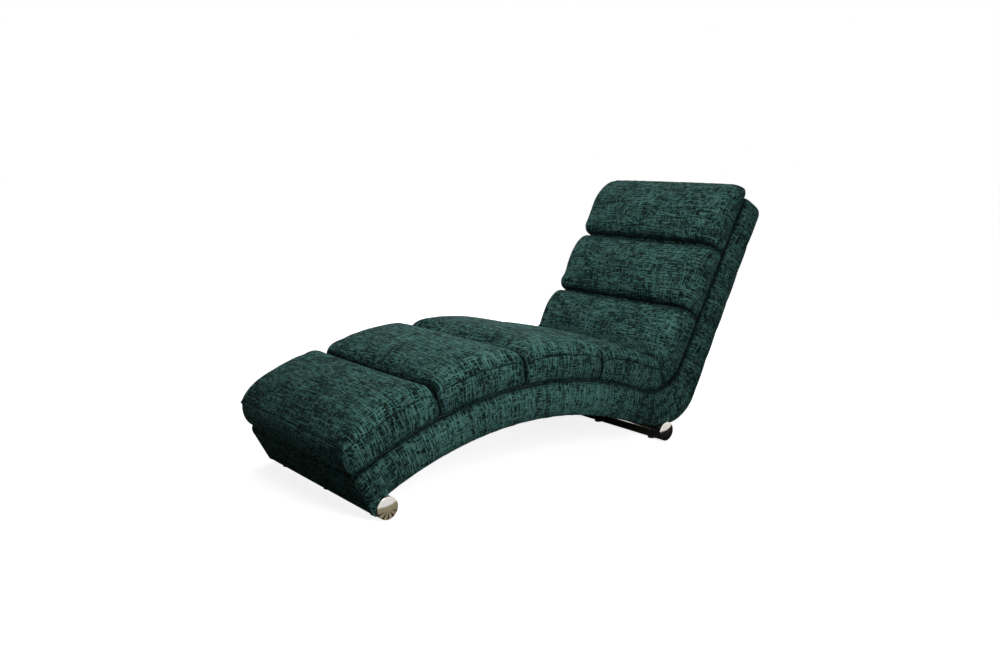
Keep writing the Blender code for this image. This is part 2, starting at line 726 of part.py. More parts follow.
@dataclass(frozen=True)
class PadEnd:
    """How a pad ends: the length over which its top falls, by how much, and how far the end swells."""

    length: float
    drop: float
    bulge: float = 0.0

    def fall(self, distance):
        """The share of the drop at a distance from the end, from 1 there to 0."""
        if distance >= self.length:
            return 0.0
        return 1 - math.sqrt(1 - (1 - distance / self.length) ** 2)


GROOVE = PadEnd(GROOVE_ROUND, GROOVE_DROP)
DIP = PadEnd(DIP_ROUND, DIP_DROP)
FOOT = PadEnd(FOOT_ROUND, FOOT_DROP, END_BULGE)
HEAD = PadEnd(HEAD_ROUND, HEAD_DROP, END_BULGE)
CORNER = PadEnd(PAD_CORNER_LENGTH, PAD_CORNER_DRAW)


@dataclass(frozen=True)
class Pad:
    """One channel of the upholstery, between two places on the seat line."""

    name: str
    start: float
    end: float
    height: float
    foot_end: PadEnd
    head_end: PadEnd

    def end_inset(self, end, inset):
        """An inset at an end, longer in the dip, where the seat line's normals close in."""
        if end is DIP:
            return inset / (1 - (self.height - DIP_DROP) / DIP_RADIUS)
        return inset

    def stations(self, start, end):
        """Places along the pad, closer together where its top falls at the ends."""
        turns = [1 - math.cos(math.pi / 2 * step / PAD_ROUND_STEPS) for step in range(PAD_ROUND_STEPS + 1)]
        low = [start + self.foot_end.length * turn for turn in turns]
        high = [end - self.head_end.length * turn for turn in reversed(turns)]
        step = (high[0] - low[-1]) / PAD_MIDDLE_STEPS
        return low + [low[-1] + step * number for number in range(1, PAD_MIDDLE_STEPS)] + high

    def section(self, place, start, end, inset):
        """The pad's section across, at a place along it, as (across, height) from side to side."""
        from_foot, from_head = place - start, end - place
        height = self.height - inset
        height -= self.foot_end.drop * self.foot_end.fall(from_foot)
        height -= self.head_end.drop * self.head_end.fall(from_head)
        radius = PAD_SIDE_RADIUS - inset
        widest = (height - radius) * PAD_SWELL
        half = PAD_WIDTH / 2 - inset * math.hypot(1.0, PAD_TUCK / widest)
        half -= PAD_CORNER_DRAW * max(CORNER.fall(from_foot), CORNER.fall(from_head))
        middle = 2 * from_foot / (end - start) - 1
        crown = PAD_CROWN * (1 - middle**2) * (1 - PAD_LEAN * middle)

        flat = half - radius
        side = [(half - PAD_TUCK, CURVED_CLEARANCE), (half, widest)]
        for step in range(PAD_SIDE_STEPS + 1):
            turn = math.pi / 2 * step / PAD_SIDE_STEPS
            side.append((flat + radius * math.cos(turn), height - radius + radius * math.sin(turn)))
        top = []
        for step in range(1, PAD_TOP_STEPS):
            y = flat * (2 * step / PAD_TOP_STEPS - 1)
            top.append((y, height + crown * (1 - (y / flat) ** 2)))
        return [(-y, n) for y, n in side] + top + side[::-1]

    def shape(self, inset):
        """The closed form of the pad, smaller all round by an inset; its bottom faces come second."""
        start = self.start + CLEARANCE / 2 + self.end_inset(self.foot_end, inset)
        end = self.end - CLEARANCE / 2 - self.end_inset(self.head_end, inset)
        bm = bmesh.new()
        rings = []
        for place in self.stations(start, end):
            ring = []
            for y, height in self.section(place, start, end, inset):
                spot = PROFILE.place(place, height)
                ring.append(bm.verts.new((spot.x, y, spot.y)))
            rings.append(ring)
        bottom = []
        for ring, after in zip(rings, rings[1:]):
            for number in range(len(ring) - 1):
                bm.faces.new((ring[number], ring[number + 1], after[number + 1], after[number]))
            bottom.append(bm.faces.new((ring[-1], ring[0], after[0], after[-1])))
        caps = (bm.faces.new(rings[0]), bm.faces.new(rings[-1]))
        bmesh.ops.recalc_face_normals(bm, faces=bm.faces)
        return bm, bottom, caps

    def build_cover(self, root):
        """The sewn cover, open underneath, where it is stapled to the deck."""
        bm, bottom, caps = self.shape(0.0)
        bmesh.ops.delete(bm, geom=bottom, context="FACES_ONLY")
        for cap, end in zip(caps, (self.foot_end, self.head_end)):
            if end.bulge:
                bmesh.ops.inset_individual(
                    bm, faces=[cap], thickness=END_BULGE_RIM, depth=end.bulge, use_even_offset=True
                )
        mesh = bpy.data.meshes.new(f"{self.name}_cover")
        bm.to_mesh(mesh)
        bm.free()
        mesh.shade_smooth()
        cover = add_object(f"{self.name}_cover", mesh, "teal_fabric", root)
        wall = cover.modifiers.new("cloth", "SOLIDIFY")
        wall.thickness = PAD_COVER
        wall.offset = -1.0
        wall.use_even_offset = True

    def build_foam(self, root):
        """The foam core inside the cover."""
        bm, _, _ = self.shape(PAD_COVER + CURVED_CLEARANCE)
        name = f"{self.name}_foam"
        add_object(name, mesh_of(name, bm), "foam", root)


def pads():
    """The seven pads, from the foot end to the head end."""
    calf_at = FOOT_PAD
    thigh_at = calf_at + CALF_PAD
    seat_at = thigh_at + THIGH_PAD
    head_at = PROFILE.head_at - HEAD_PAD
    middle_at = head_at - MIDDLE_PAD
    return (
        Pad("foot_pad", -FOOT_OVERHANG, calf_at, SEAT_PAD_HEIGHT, FOOT, GROOVE),
        Pad("calf_pad", calf_at, thigh_at, SEAT_PAD_HEIGHT, GROOVE, GROOVE),
        Pad("thigh_pad", thigh_at, seat_at, SEAT_PAD_HEIGHT, GROOVE, GROOVE),
        Pad("seat_pad", seat_at, PROFILE.mid_dip, SEAT_PAD_HEIGHT, GROOVE, DIP),
        Pad("lumbar_pad", PROFILE.mid_dip, middle_at, LUMBAR_PAD_HEIGHT, DIP, GROOVE),
        Pad("middle_pad", middle_at, head_at, MIDDLE_PAD_HEIGHT, GROOVE, GROOVE),
        Pad("head_pad", head_at, PROFILE.head_at + HEAD_OVERHANG, HEAD_PAD_HEIGHT, GROOVE, HEAD),
    )


def tube_mesh():
    """A tube along Y with bolt holes in its top and wider glide holes under them."""
    inner, half = TUBE_RADIUS - TUBE_WALL, TUBE_LENGTH / 2
    wall = [(TUBE_RADIUS, half), (TUBE_RADIUS, -half), (inner, -half), (inner, half)]
    pipe = across(turned([*wall, wall[0]], TUBE_SIDES))
    blank = add_object("tube_blank", mesh_of("tube_blank", pipe), "chrome", None)
    holes = []
    for y in fixing_places():
        for radius, low, high in (
            (BOLT_RADIUS + CLEARANCE, 0.0, TUBE_DIAMETER),
            (GLIDE_STEM_RADIUS + CLEARANCE, -TUBE_DIAMETER, 0.0),
        ):
            bm = rod(radius, low, high, SMALL_SIDES)
            bmesh.ops.translate(bm, verts=bm.verts, vec=(0.0, y, 0.0))
            holes.append(add_cutter("tube_hole", bm))
            add_boolean(blank, holes[-1])
    mesh = baked_mesh(blank)
    for hole in holes:
        bpy.data.objects.remove(hole, do_unlink=True)
    return mesh


def cap_mesh():
    """A domed end cap with its plug, along Z, with the tube's end at height 0."""
    plug = TUBE_RADIUS - TUBE_WALL - CLEARANCE
    rim = CLEARANCE + CAP_RIM
    profile = []
    for step in range(CAP_RINGS + 1):
        turn = math.pi / 2 * step / CAP_RINGS
        profile.append((TUBE_RADIUS * math.sin(turn), rim + CAP_DOME * math.cos(turn)))
    profile += [(TUBE_RADIUS, CLEARANCE), (plug, CLEARANCE), (plug, -CAP_PLUG), (0.0, -CAP_PLUG)]
    return mesh_of("end_cap", turned(profile, TUBE_SIDES))


def glide_mesh():
    """A glide that hugs the tube, with its stem in the tube's hole; its height 0 is the tube's axis."""
    floor = -TUBE_AXIS_HEIGHT
    rim = -math.sqrt(TUBE_RADIUS**2 - GLIDE_RADIUS**2)
    foot = GLIDE_RADIUS - GLIDE_CHAMFER
    profile = [(0.0, rim), (GLIDE_RADIUS, rim), (GLIDE_RADIUS, floor + GLIDE_CHAMFER)]
    profile += [(foot, floor), (0.0, floor)]
    mesh = mesh_of("glide_blank", turned(profile, SMALL_SIDES))
    blank = add_object("glide_blank", mesh, "black_plastic", None)
    round_tube = across(rod(TUBE_RADIUS + CLEARANCE, -TUBE_DIAMETER, TUBE_DIAMETER, TUBE_SIDES))
    hug = add_cutter("glide_hug", round_tube)
    top = -TUBE_RADIUS + TUBE_WALL + GLIDE_STEM_REACH
    stem = add_cutter("glide_stem", rod(GLIDE_STEM_RADIUS, floor + GLIDE_HEIGHT / 2, top, SMALL_SIDES))
    add_boolean(blank, hug)
    add_boolean(blank, stem, "UNION")
    mesh = baked_mesh(blank)
    for helper in (hug, stem):
        bpy.data.objects.remove(helper, do_unlink=True)
    return mesh


def bolt_mesh():
    """A round-headed bolt, along Z, from its head inside the tube up into the rail."""
    seat = bolt_seat()
    tip = seat + bolt_reach()
    profile = [(0.0, tip), (BOLT_RADIUS, tip), (BOLT_RADIUS, seat), (BOLT_HEAD_RADIUS, seat)]
    profile += [(BOLT_HEAD_RADIUS, seat - BOLT_HEAD_HEIGHT), (0.0, seat - BOLT_HEAD_HEIGHT)]
    return mesh_of("tube_bolt", turned(profile, SMALL_SIDES))


def build_feet(root):
    """Two tubes with their end caps, glides and bolts, each set on an empty at its tube's axis."""
    tube, cap, glide, bolt = tube_mesh(), cap_mesh(), glide_mesh(), bolt_mesh()
    for side, x in (("front", FRONT_TUBE_X), ("rear", REAR_TUBE_X)):
        foot = add_empty(f"{side}_foot", root)
        foot.location = (x, 0.0, TUBE_AXIS_HEIGHT)
        add_object(f"{side}_tube", tube, "chrome", foot)
        for end, sign in (("near", -1), ("far", 1)):
            end_cap = add_object(f"{side}_cap_{end}", cap, "chrome", foot)
            end_cap.location = (0.0, sign * TUBE_LENGTH / 2, 0.0)
            end_cap.rotation_euler = (-sign * math.pi / 2, 0.0, 0.0)
        for number, y in enumerate(fixing_places(), 1):
            add_object(f"{side}_glide_{number}", glide, "black_plastic", foot).location = (0.0, y, 0.0)
            add_object(f"{side}_bolt_{number}", bolt, "zinc", foot).location = (0.0, y, 0.0)


def centre_on_origin(root):
    """Moves the root so that the origin lies under the middle of the object."""
    bpy.context.view_layer.update()
    graph = bpy.context.evaluated_depsgraph_get()
    reach = []
    for obj in bpy.data.objects:
        if obj.type == "MESH" and not obj.hide_render:
            shown = obj.evaluated_get(graph)
            reach += [(shown.matrix_world @ Vector(corner)).x for corner in shown.bound_box]
    root.location.x = -(min(reach) + max(reach)) / 2
    return root.location.x


def main():
    """Builds the chaise longue."""
    clear_scene()
    root = add_empty("chaise_longue")
    saddles = saddle_cutters()
    build_boards(root, saddles)
    build_side_covers(root, saddles)
    build_sheets(root, saddles)
    build_rails(root)
    build_tube_rail("foot_rail", FRONT_TUBE_X, 1, root, saddles[0])
    build_tube_rail("heel_rail", REAR_TUBE_X, -1, root, saddles[1])
    build_springs(root)
    build_straps(root)
    for pad in pads():
        pad.build_cover(root)
        pad.build_foam(root)
    build_feet(root)
    for obj in bpy.data.objects:
        if obj.hide_render:
            obj.parent = root
    print(f"origin moved by {centre_on_origin(root):.4f} m along X")


main()
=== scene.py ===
"""Looks of an upholstered chaise longue: woven covers on seven channel pads, an arched base, two tube feet.

Metres, +Z up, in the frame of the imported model: X runs from the foot end to the head end, Y across.
"""

import logging
import math
from collections.abc import Callable
from dataclasses import dataclass, field
from enum import Enum
from typing import Any

import bpy
import numpy as np
from bpy.types import Material, NodeSocket, Object
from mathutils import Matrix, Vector


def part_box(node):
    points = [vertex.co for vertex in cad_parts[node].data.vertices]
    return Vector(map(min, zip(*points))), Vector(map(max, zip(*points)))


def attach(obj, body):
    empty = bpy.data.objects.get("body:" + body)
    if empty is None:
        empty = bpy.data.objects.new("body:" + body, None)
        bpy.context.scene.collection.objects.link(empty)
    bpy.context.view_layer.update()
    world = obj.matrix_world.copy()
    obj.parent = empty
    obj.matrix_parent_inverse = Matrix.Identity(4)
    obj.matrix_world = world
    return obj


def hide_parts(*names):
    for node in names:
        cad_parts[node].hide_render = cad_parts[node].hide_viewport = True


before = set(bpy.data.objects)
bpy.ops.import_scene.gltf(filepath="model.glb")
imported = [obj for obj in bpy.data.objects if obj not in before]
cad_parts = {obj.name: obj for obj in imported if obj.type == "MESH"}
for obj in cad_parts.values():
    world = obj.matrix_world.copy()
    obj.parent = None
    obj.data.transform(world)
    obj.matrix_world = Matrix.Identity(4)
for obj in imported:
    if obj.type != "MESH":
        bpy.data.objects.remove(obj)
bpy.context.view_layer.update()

WEAVE = "weave"  # UV map of the woven pieces, in metres along and across the yarns
SEAM = "seam"  # point attribute: 1 on a sewn line, down to 0 at REACH from it; it sets the seam's groove and its painted shade
CREASE = "crease"  # the same, for the lines where two pieces meet and the grooves; it also sets painted shade there
REACH = 0.010  # metres
PAINTED_LIGHT_AND_SHADE = "painted_light_and_shade"  # point attribute: painted light and shade, by how much the side panels' cloth is lightened or darkened
PIN = "pin"  # vertex group that holds cloth still
EDGE = 1e-4  # places this close to the end of their range are on the end itself
SHARP = math.radians(40)  # edges over this angle stay sharp
LOG = logging.getLogger("chaise")


class Side(Enum):
    """The two long sides, by the sign of Y."""

    NEAR = -1
    FAR = 1


def select_only(obj: Object) -> None:
    """Selects one object and makes it active.

    Args:
        obj: the object to work on.
    """
    bpy.ops.object.select_all(action="DESELECT")
    obj.select_set(True)
    bpy.context.view_layer.objects.active = obj


def apply_modifier(obj: Object, kind: str, **settings: Any) -> None:
    """Adds a modifier to an object and applies it.

    Args:
        obj: the object.
        kind: the modifier's type.
        settings: values of the modifier.
    """
    select_only(obj)
    modifier = obj.modifiers.new(kind.lower(), kind)
    for key, value in settings.items():
        setattr(modifier, key, value)
    bpy.ops.object.modifier_apply(modifier=modifier.name)


def edit_all(obj: Object, operator: Callable, **settings: Any) -> None:
    """Runs an edit-mode operator on the whole of an object.

    Args:
        obj: the object.
        operator: one of bpy.ops.mesh.
        settings: its values.
    """
    select_only(obj)
    bpy.ops.object.mode_set(mode="EDIT")
    bpy.ops.mesh.select_all(action="SELECT")
    operator(**settings)
    bpy.ops.object.mode_set(mode="OBJECT")


def smooth_shading(obj: Object) -> None:
    """Shades an object smooth, with its sharp edges kept."""
    select_only(obj)
    bpy.ops.object.shade_smooth_by_angle(angle=SHARP)


def points_of(obj: Object, kind: str = "co") -> np.ndarray:
    """The mesh's points, or with the kind "normal" their normals, one row each."""
    rows = np.empty(len(obj.data.vertices) * 3)
    obj.data.vertices.foreach_get(kind, rows)
    return rows.reshape(-1, 3)


def move_points(obj: Object, points: np.ndarray) -> None:
    """Puts the mesh's points at these places."""
    obj.data.vertices.foreach_set("co", points.ravel())
    obj.data.update()


def corner_points(obj: Object) -> tuple[np.ndarray, np.ndarray]:
    """The point and the face of each face corner.

    Args:
        obj: a mesh object.

    Returns:
        The index of each corner's point, and the index of its face.
    """
    mesh = obj.data
    corners = np.empty(len(mesh.loops), int)
    mesh.loops.foreach_get("vertex_index", corners)
    counts = np.empty(len(mesh.polygons), int)
    mesh.polygons.foreach_get("loop_total", counts)
    return corners, np.repeat(np.arange(len(counts)), counts)


def set_weave(obj: Object, along: np.ndarray, across: np.ndarray) -> None:
    """Writes the UV map that the yarns follow: metres along and across the weft, for each face corner."""
    layer = obj.data.uv_layers.get(WEAVE) or obj.data.uv_layers.new(name=WEAVE)
    layer.data.foreach_set("uv", np.stack([along, across], -1).astype(np.float32).ravel())


def set_point_values(obj: Object, name: str, values: np.ndarray) -> None:
    """Writes one number for each point, under a name."""
    attribute = obj.data.attributes.get(name) or obj.data.attributes.new(name, "FLOAT", "POINT")
    attribute.data.foreach_set("value", values.astype(np.float32))


def point_values(obj: Object, name: str) -> np.ndarray:
    """The number that each point holds under a name."""
    values = np.empty(len(obj.data.vertices), np.float32)
    obj.data.attributes[name].data.foreach_get("value", values)
    return values


def add_group(obj: Object, name: str, chosen: np.ndarray) -> None:
    """Adds a vertex group of the points that are chosen."""
    obj.vertex_groups.new(name=name).add(np.flatnonzero(chosen).tolist(), 1.0, "REPLACE")


def add_object(name: str, data: Any) -> Object:
    """A new object of the scene, with its data."""
    obj = bpy.data.objects.new(name, data)
    bpy.context.scene.collection.objects.link(obj)
    return obj


def add_grid(name: str, counts: list[int]) -> Object:
    """A new flat grid, 1 by 1, of so many cells along X and along Y.

    Args:
        name: of the object.
        counts: of the cells.

    Returns:
        The grid, selected alone.
    """
    bpy.ops.object.select_all(action="DESELECT")
    bpy.ops.mesh.primitive_grid_add(x_subdivisions=counts[0], y_subdivisions=counts[1], size=1.0)
    obj = bpy.context.object
    obj.name = obj.data.name = name
    return obj


def renumber(obj: Object) -> None:
    """Numbers the points and faces of a mesh by their places.

    An extrusion's own order differs from run to run, and cloth that is blown out follows the order.

    Args:
        obj: the mesh object, with no two points in one place.
    """
    points = points_of(obj)
    order = np.lexsort(np.round(points, 6).T)
    numbers = np.argsort(order)
    faces = []
    for face in obj.data.polygons:
        ring = numbers[list(face.vertices)].tolist()
        first = ring.index(min(ring))
        faces.append(ring[first:] + ring[:first])
    obj.data.clear_geometry()
    obj.data.from_pydata(points[order].tolist(), [], sorted(faces))


def copy_of_node(node: str, name: str) -> Object:
    """A merged copy of a node's mesh, as an object of its own.

    Args:
        node: the node's name.
        name: of the new object.

    Returns:
        The copy.
    """
    obj = add_object(name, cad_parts[node].data.copy())
    obj.data.materials.clear()
    edit_all(obj, bpy.ops.mesh.remove_doubles, threshold=1e-5)
    edit_all(obj, bpy.ops.mesh.customdata_custom_splitnormals_clear)
    return obj


def middle_of(node: str) -> np.ndarray:
    """The middle of a node's box."""
    low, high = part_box(node)
    return (np.array(low) + np.array(high)) / 2


def toned(colour: tuple, share: float) -> tuple:
    """A colour made darker or lighter by a share."""
    return tuple(part * share for part in colour)


def dress(obj: Object, material: Material) -> None:
    """Gives a piece or a node one material."""
    obj.data.materials.clear()
    obj.data.materials.append(material)


def stand_in(obj: Object, material: Material, slot: str, *nodes: str) -> None:
    """Dresses a finished piece and has it stand for nodes of the frame.

    Args:
        obj: the piece.
        material: its finish.
        slot: the finish's name; not used.
        nodes: that the piece replaces.
    """
    dress(obj, material)
    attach(obj, "root")
    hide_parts(*nodes)


def maths(operation: str, swapped: bool = False) -> Callable[..., "Value"]:
    """Makes a method of Value that adds a Math node.

    Args:
        operation: the node's operation.
        swapped: with the operands the other way round.

    Returns:
        The method.
    """

    def method(self: "Value", *others: Any) -> "Value":
        """The operation on this number and the others."""
        operands = (*others, self) if swapped else (self, *others)
        node = self.graph.node("ShaderNodeMath", {"operation": operation}, dict(enumerate(operands)))
        return Value(self.graph, node.outputs[0])

    return method


class Value:
    """A number that a shader works out, written with Python's operators."""

    __add__ = __radd__ = maths("ADD")
    __sub__ = maths("SUBTRACT")
    __rsub__ = maths("SUBTRACT", swapped=True)
    __mul__ = __rmul__ = maths("MULTIPLY")
    __truediv__ = maths("DIVIDE")
    __mod__ = maths("FLOORED_MODULO")  # never below 0
    __pow__ = maths("POWER")
    floor = maths("FLOOR")
    fraction = maths("FRACT")  # what is left over the whole number below
    size = maths("ABSOLUTE")
    wave = maths("SINE")
    most = maths("MAXIMUM")  # the greater of two
    turn = maths("ARCTAN2")  # the angle of a place with this height and another width

    def __init__(self, graph: "Graph", socket: NodeSocket) -> None:
        """Wraps a socket of a graph."""
        self.graph = graph
        self.socket = socket

    def ramp(self, low: float, high: float) -> "Value":
        """A smooth rise from 0 at one number to 1 at another."""
        settings = {"interpolation_type": "SMOOTHSTEP"}
        node = self.graph.node("ShaderNodeMapRange", settings, {0: self, 1: low, 2: high})
        return Value(self.graph, node.outputs[0])


class Graph:
    """The nodes of one material, or of the world."""

    def __init__(self, owner: Any) -> None:
        """Clears the owner's node tree."""
        owner.use_nodes = True
        self.tree = owner.node_tree
        self.tree.nodes.clear()

    def node(self, kind: str, settings: dict | None = None, inputs: dict | None = None) -> bpy.types.Node:
        """Adds a node.

        Args:
            kind: the node's type.
            settings: its properties, and a ramp's "stops" as (place, colour) pairs.
            inputs: a value, a Value or a socket for each input, by name or number.

        Returns:
            The node.
        """
        node = self.tree.nodes.new(kind)
        for key, value in (settings or {}).items():
            if key == "stops":
                self._set_stops(node.color_ramp, value)
            else:
                setattr(node, key, value)
        for key, value in (inputs or {}).items():
            source = value.socket if isinstance(value, Value) else value
            if isinstance(source, NodeSocket):
                self.tree.links.new(source, node.inputs[key])
            else:
                node.inputs[key].default_value = source
        return node

    @staticmethod
    def _set_stops(ramp: bpy.types.ColorRamp, stops: list[tuple[float, tuple]]) -> None:
        """Gives a colour ramp its stops."""
        while len(ramp.elements) < len(stops):
            ramp.elements.new(1.0)
        for element, (place, colour) in zip(ramp.elements, stops):
            element.position = place
            element.color = (*colour, 1.0)

    def weave(self) -> tuple[Value, Value]:
        """Metres along and across the weft, from the piece's own UV map."""
        uv = self.node("ShaderNodeUVMap", {"uv_map": WEAVE})
        parts = self.node("ShaderNodeSeparateXYZ", None, {0: uv.outputs[0]})
        return Value(self, parts.outputs[0]), Value(self, parts.outputs[1])

    def place(self) -> tuple[Value, Value, Value]:
        """The surface's place in the object's own frame."""
        coordinates = self.node("ShaderNodeTexCoord")
        parts = self.node("ShaderNodeSeparateXYZ", None, {0: coordinates.outputs["Object"]})
        return tuple(Value(self, socket) for socket in parts.outputs)

    def attribute(self, name: str) -> Value:
        """A point attribute of the piece."""
        node = self.node("ShaderNodeAttribute", {"attribute_name": name})
        return Value(self, node.outputs["Fac"])

    def noise(self, x: Any, y: Any, z: Any, detail: float, roughness: float = 0.5) -> Value:
        """Soft noise about 0.5, one blotch for each unit.

        Args:
            x: first coordinate.
            y: second coordinate.
            z: third coordinate.
            detail: octaves above the first.
            roughness: share of each further octave.

        Returns:
            The noise.
        """
        vector = self.node("ShaderNodeCombineXYZ", None, {0: x, 1: y, 2: z})
        inputs = {"Vector": vector.outputs[0], "Scale": 1.0, "Detail": detail, "Roughness": roughness}
        node = self.node("ShaderNodeTexNoise", {"noise_dimensions": "3D"}, inputs)
        return Value(self, node.outputs[0])

    def grain(self, place: tuple, scales: tuple, **settings: float) -> Value:
        """Noise at a place, with so many blotches to the metre along X, Y and Z."""
        return self.noise(*(axis * scale for axis, scale in zip(place, scales)), **settings)

    def random(self, x: Any, y: Any, z: Any) -> Value:
        """A number from 0 to 1 for each place, with no link to the places next to it."""
        vector = self.node("ShaderNodeCombineXYZ", None, {0: x, 1: y, 2: z})
        node = self.node("ShaderNodeTexWhiteNoise", None, {"Vector": vector.outputs[0]})
        return Value(self, node.outputs["Value"])

    def colours(self, tone: Value, stops: list[tuple[float, tuple]]) -> NodeSocket:
        """The colour of a ramp at a tone."""
        return self.node("ShaderNodeValToRGB", {"stops": stops}, {0: tone}).outputs[0]

    def mix(self, share: Any, first: Any, second: Any) -> NodeSocket:
        """Two colours mixed by a share of the second."""
        settings = {"data_type": "RGBA", "blend_type": "MIX"}
        colours = [(*c, 1.0) if isinstance(c, tuple) else c for c in (first, second)]
        return self.node("ShaderNodeMix", settings, {0: share, 6: colours[0], 7: colours[1]}).outputs[2]

    def bump(self, height: Value, distance: float, strength: float) -> NodeSocket:
        """Normals of a relief, whose height is a share of a distance in metres."""
        inputs = {"Strength": strength, "Distance": distance, "Height": height}
        return self.node("ShaderNodeBump", None, inputs).outputs[0]

    def shader(self, kind: str, inputs: dict) -> NodeSocket:
        """The output of a new shader."""
        return self.node(kind, None, inputs).outputs[0]

    def finish(self, **inputs: Any) -> None:
        """Ends the graph in a Principled shader, whose inputs are named with underscores."""
        names = {key.replace("_", " ").title().replace("Ior", "IOR"): value for key, value in inputs.items()}
        surface = self.shader("ShaderNodeBsdfPrincipled", names)
        self.node("ShaderNodeOutputMaterial", None, {"Surface": surface})


@dataclass(frozen=True)
class Finish:
    """A finish, which is one material."""

    name: str

    def shade(self, graph: Graph) -> None:
        """Adds the nodes, in each kind of finish its own."""
        raise NotImplementedError

    def material(self) -> Material:
        """Makes the material."""
        material = bpy.data.materials.new(self.name)
        self.shade(Graph(material))
        return material


@dataclass(frozen=True)
class WovenFabric(Finish):
    """Coarse cross-weave of mottled teal yarns, in light and dark dashes along both yarn directions, with
    painted shade between the yarns, along seams and in creases, and painted light and shade on the side
    panels.
    """

    name: str = "teal_weave"
    yarn: float = 0.0020
    weft_dashes: tuple = ((0.014, 0.5), (0.044, 0.5))  # length, and share in the yarn's tone
    warp_dashes: tuple = ((0.010, 0.55), (0.028, 0.45))
    weft_seed: float = 3.5
    warp_seed: float = 13.5
    warp_level: float = 0.90
    level: float = 0.41  # the tone of a middling yarn
    middling: float = 0.48
    contrast: float = 4.6
    cloud: float = 0.055
    cloud_contrast: float = 1.4
    cloud_seed: float = 11.5
    float_share: float = 0.85  # of the light dashes that lie over the crossing yarns
    valley: float = 0.40  # painted shade between the yarns: by which a yarn's tone falls to its edges
    relief: float = 0.0010
    roughness: float = 0.92
    sheen: float = 0.04
    # painted shade in the darkest tone: thin along seams, at the joins between pieces, and a soft band round
    # creases and grooves
    seam_shade: float = 0.85
    seam_edge: tuple = (0.74, 0.92)  # of the attribute, over which the shade sets in
    join_shade: float = 0.90
    join_edge: tuple = (0.66, 0.84)
    crease_shade: float = 0.60
    tones: tuple = (
        (0.00, (0.0014, 0.0052, 0.0045)),
        (0.25, (0.0046, 0.0164, 0.0138)),
        (0.50, (0.0123, 0.0450, 0.0376)),
        (0.75, (0.0350, 0.1110, 0.0950)),
        (1.00, (0.1150, 0.2800, 0.2470)),
    )
    hue_seed: float = 21.5
    blue: tuple = (0.018, 0.060, 0.085)
    blue_share: float = 0.50
    blue_edge: tuple = (0.86, 0.93)  # of the random hue, over which a dash turns blue
    brown: tuple = (0.050, 0.055, 0.032)
    brown_share: float = 0.40
    brown_edge: tuple = (0.88, 0.95)

    @staticmethod
    def _yarn(graph: Graph, dashes: tuple, along: Value, number: Value, seed: float) -> Value:
        """The tone of a yarn, in dashes that start at random places.

        Args:
            graph: the material's nodes.
            dashes: their lengths, with the share of each in the tone.
            along: metres along the yarn.
            number: of the yarn.
            seed: of the yarns that run this way.

        Returns:
            A tone from 0 to 1.
        """
        total = 0.0
        for step, (length, share) in enumerate(dashes):
            start = graph.random(number, seed + step, 0.25)
            total = graph.random((along / length + start).floor(), number, seed + step) * share + total
        return total

    def shade(self, graph: Graph) -> None:
        """Adds the fabric's nodes."""
        u, v = graph.weave()
        column, row = (u / self.yarn).floor(), (v / self.yarn).floor()
        over = (column + row) % 2
        weft = self._yarn(graph, self.weft_dashes, u, row, self.weft_seed)
        warp = self._yarn(graph, self.warp_dashes, v, column, self.warp_seed)
        crest_u, crest_v = (1 - ((axis / self.yarn).fraction() * 2 - 1) ** 2 for axis in (u, v))
        weft = weft * (crest_v * self.valley + (1 - self.valley))
        warp = warp * (crest_u * self.valley + (1 - self.valley)) * self.warp_level
        woven = weft + (warp - weft) * over
        thread = weft.most(warp) * self.float_share + woven * (1 - self.float_share)
        cloud = graph.noise(u / self.cloud, v / self.cloud, self.cloud_seed, detail=2)
        tone = self.level + (thread - self.middling) * self.contrast
        # the side panels' painted light and shade
        tone = tone + (cloud - 0.5) * self.cloud_contrast + graph.attribute(PAINTED_LIGHT_AND_SHADE)
        colour = graph.colours(tone, list(self.tones))
        hue = graph.random((u / self.weft_dashes[1][0]).floor(), row, self.hue_seed)
        colour = graph.mix(hue.ramp(*self.blue_edge) * self.blue_share, colour, self.blue)
        colour = graph.mix((1 - hue).ramp(*self.brown_edge) * self.brown_share, colour, self.brown)
        # painted shade along seams, at joins and in creases and grooves
        close = graph.attribute(CREASE)
        shade = close.ramp(*self.join_edge) * self.join_shade
        shade = shade.most(close.ramp(0.0, 1.0) * self.crease_shade)
        shade = shade.most(graph.attribute(SEAM).ramp(*self.seam_edge) * self.seam_shade)
        colour = graph.mix(shade, colour, self.tones[0][1])
        height = crest_v + (crest_u - crest_v) * over + thread * 0.5
        graph.finish(
            base_color=colour,
            roughness=self.roughness,
            sheen_weight=self.sheen,
            sheen_roughness=0.45,
            sheen_tint=(0.25, 0.75, 0.66, 1.0),
            specular_ior_level=0.06,
            normal=graph.bump(height, self.relief, 0.6),
        )


@dataclass(frozen=True)
class NonwovenCloth(Finish):
    """Spun cloth with a fine random felt of fibres."""

    colour: tuple
    fibre: float = 0.0016

    def shade(self, graph: Graph) -> None:
        """Adds the cloth's nodes."""
        x, y, z = (axis / self.fibre for axis in graph.place())
        felt = graph.noise(x * 0.4, y, z * 0.4, detail=2)
        cross = graph.noise(x, y * 0.35, z, detail=2)
        tone = (felt + cross) / 2
        graph.finish(
            base_color=graph.mix(tone.ramp(0.35, 0.65), toned(self.colour, 0.55), toned(self.colour, 1.5)),
            roughness=0.95,
            normal=graph.bump(tone, 0.0005, 0.5),
        )


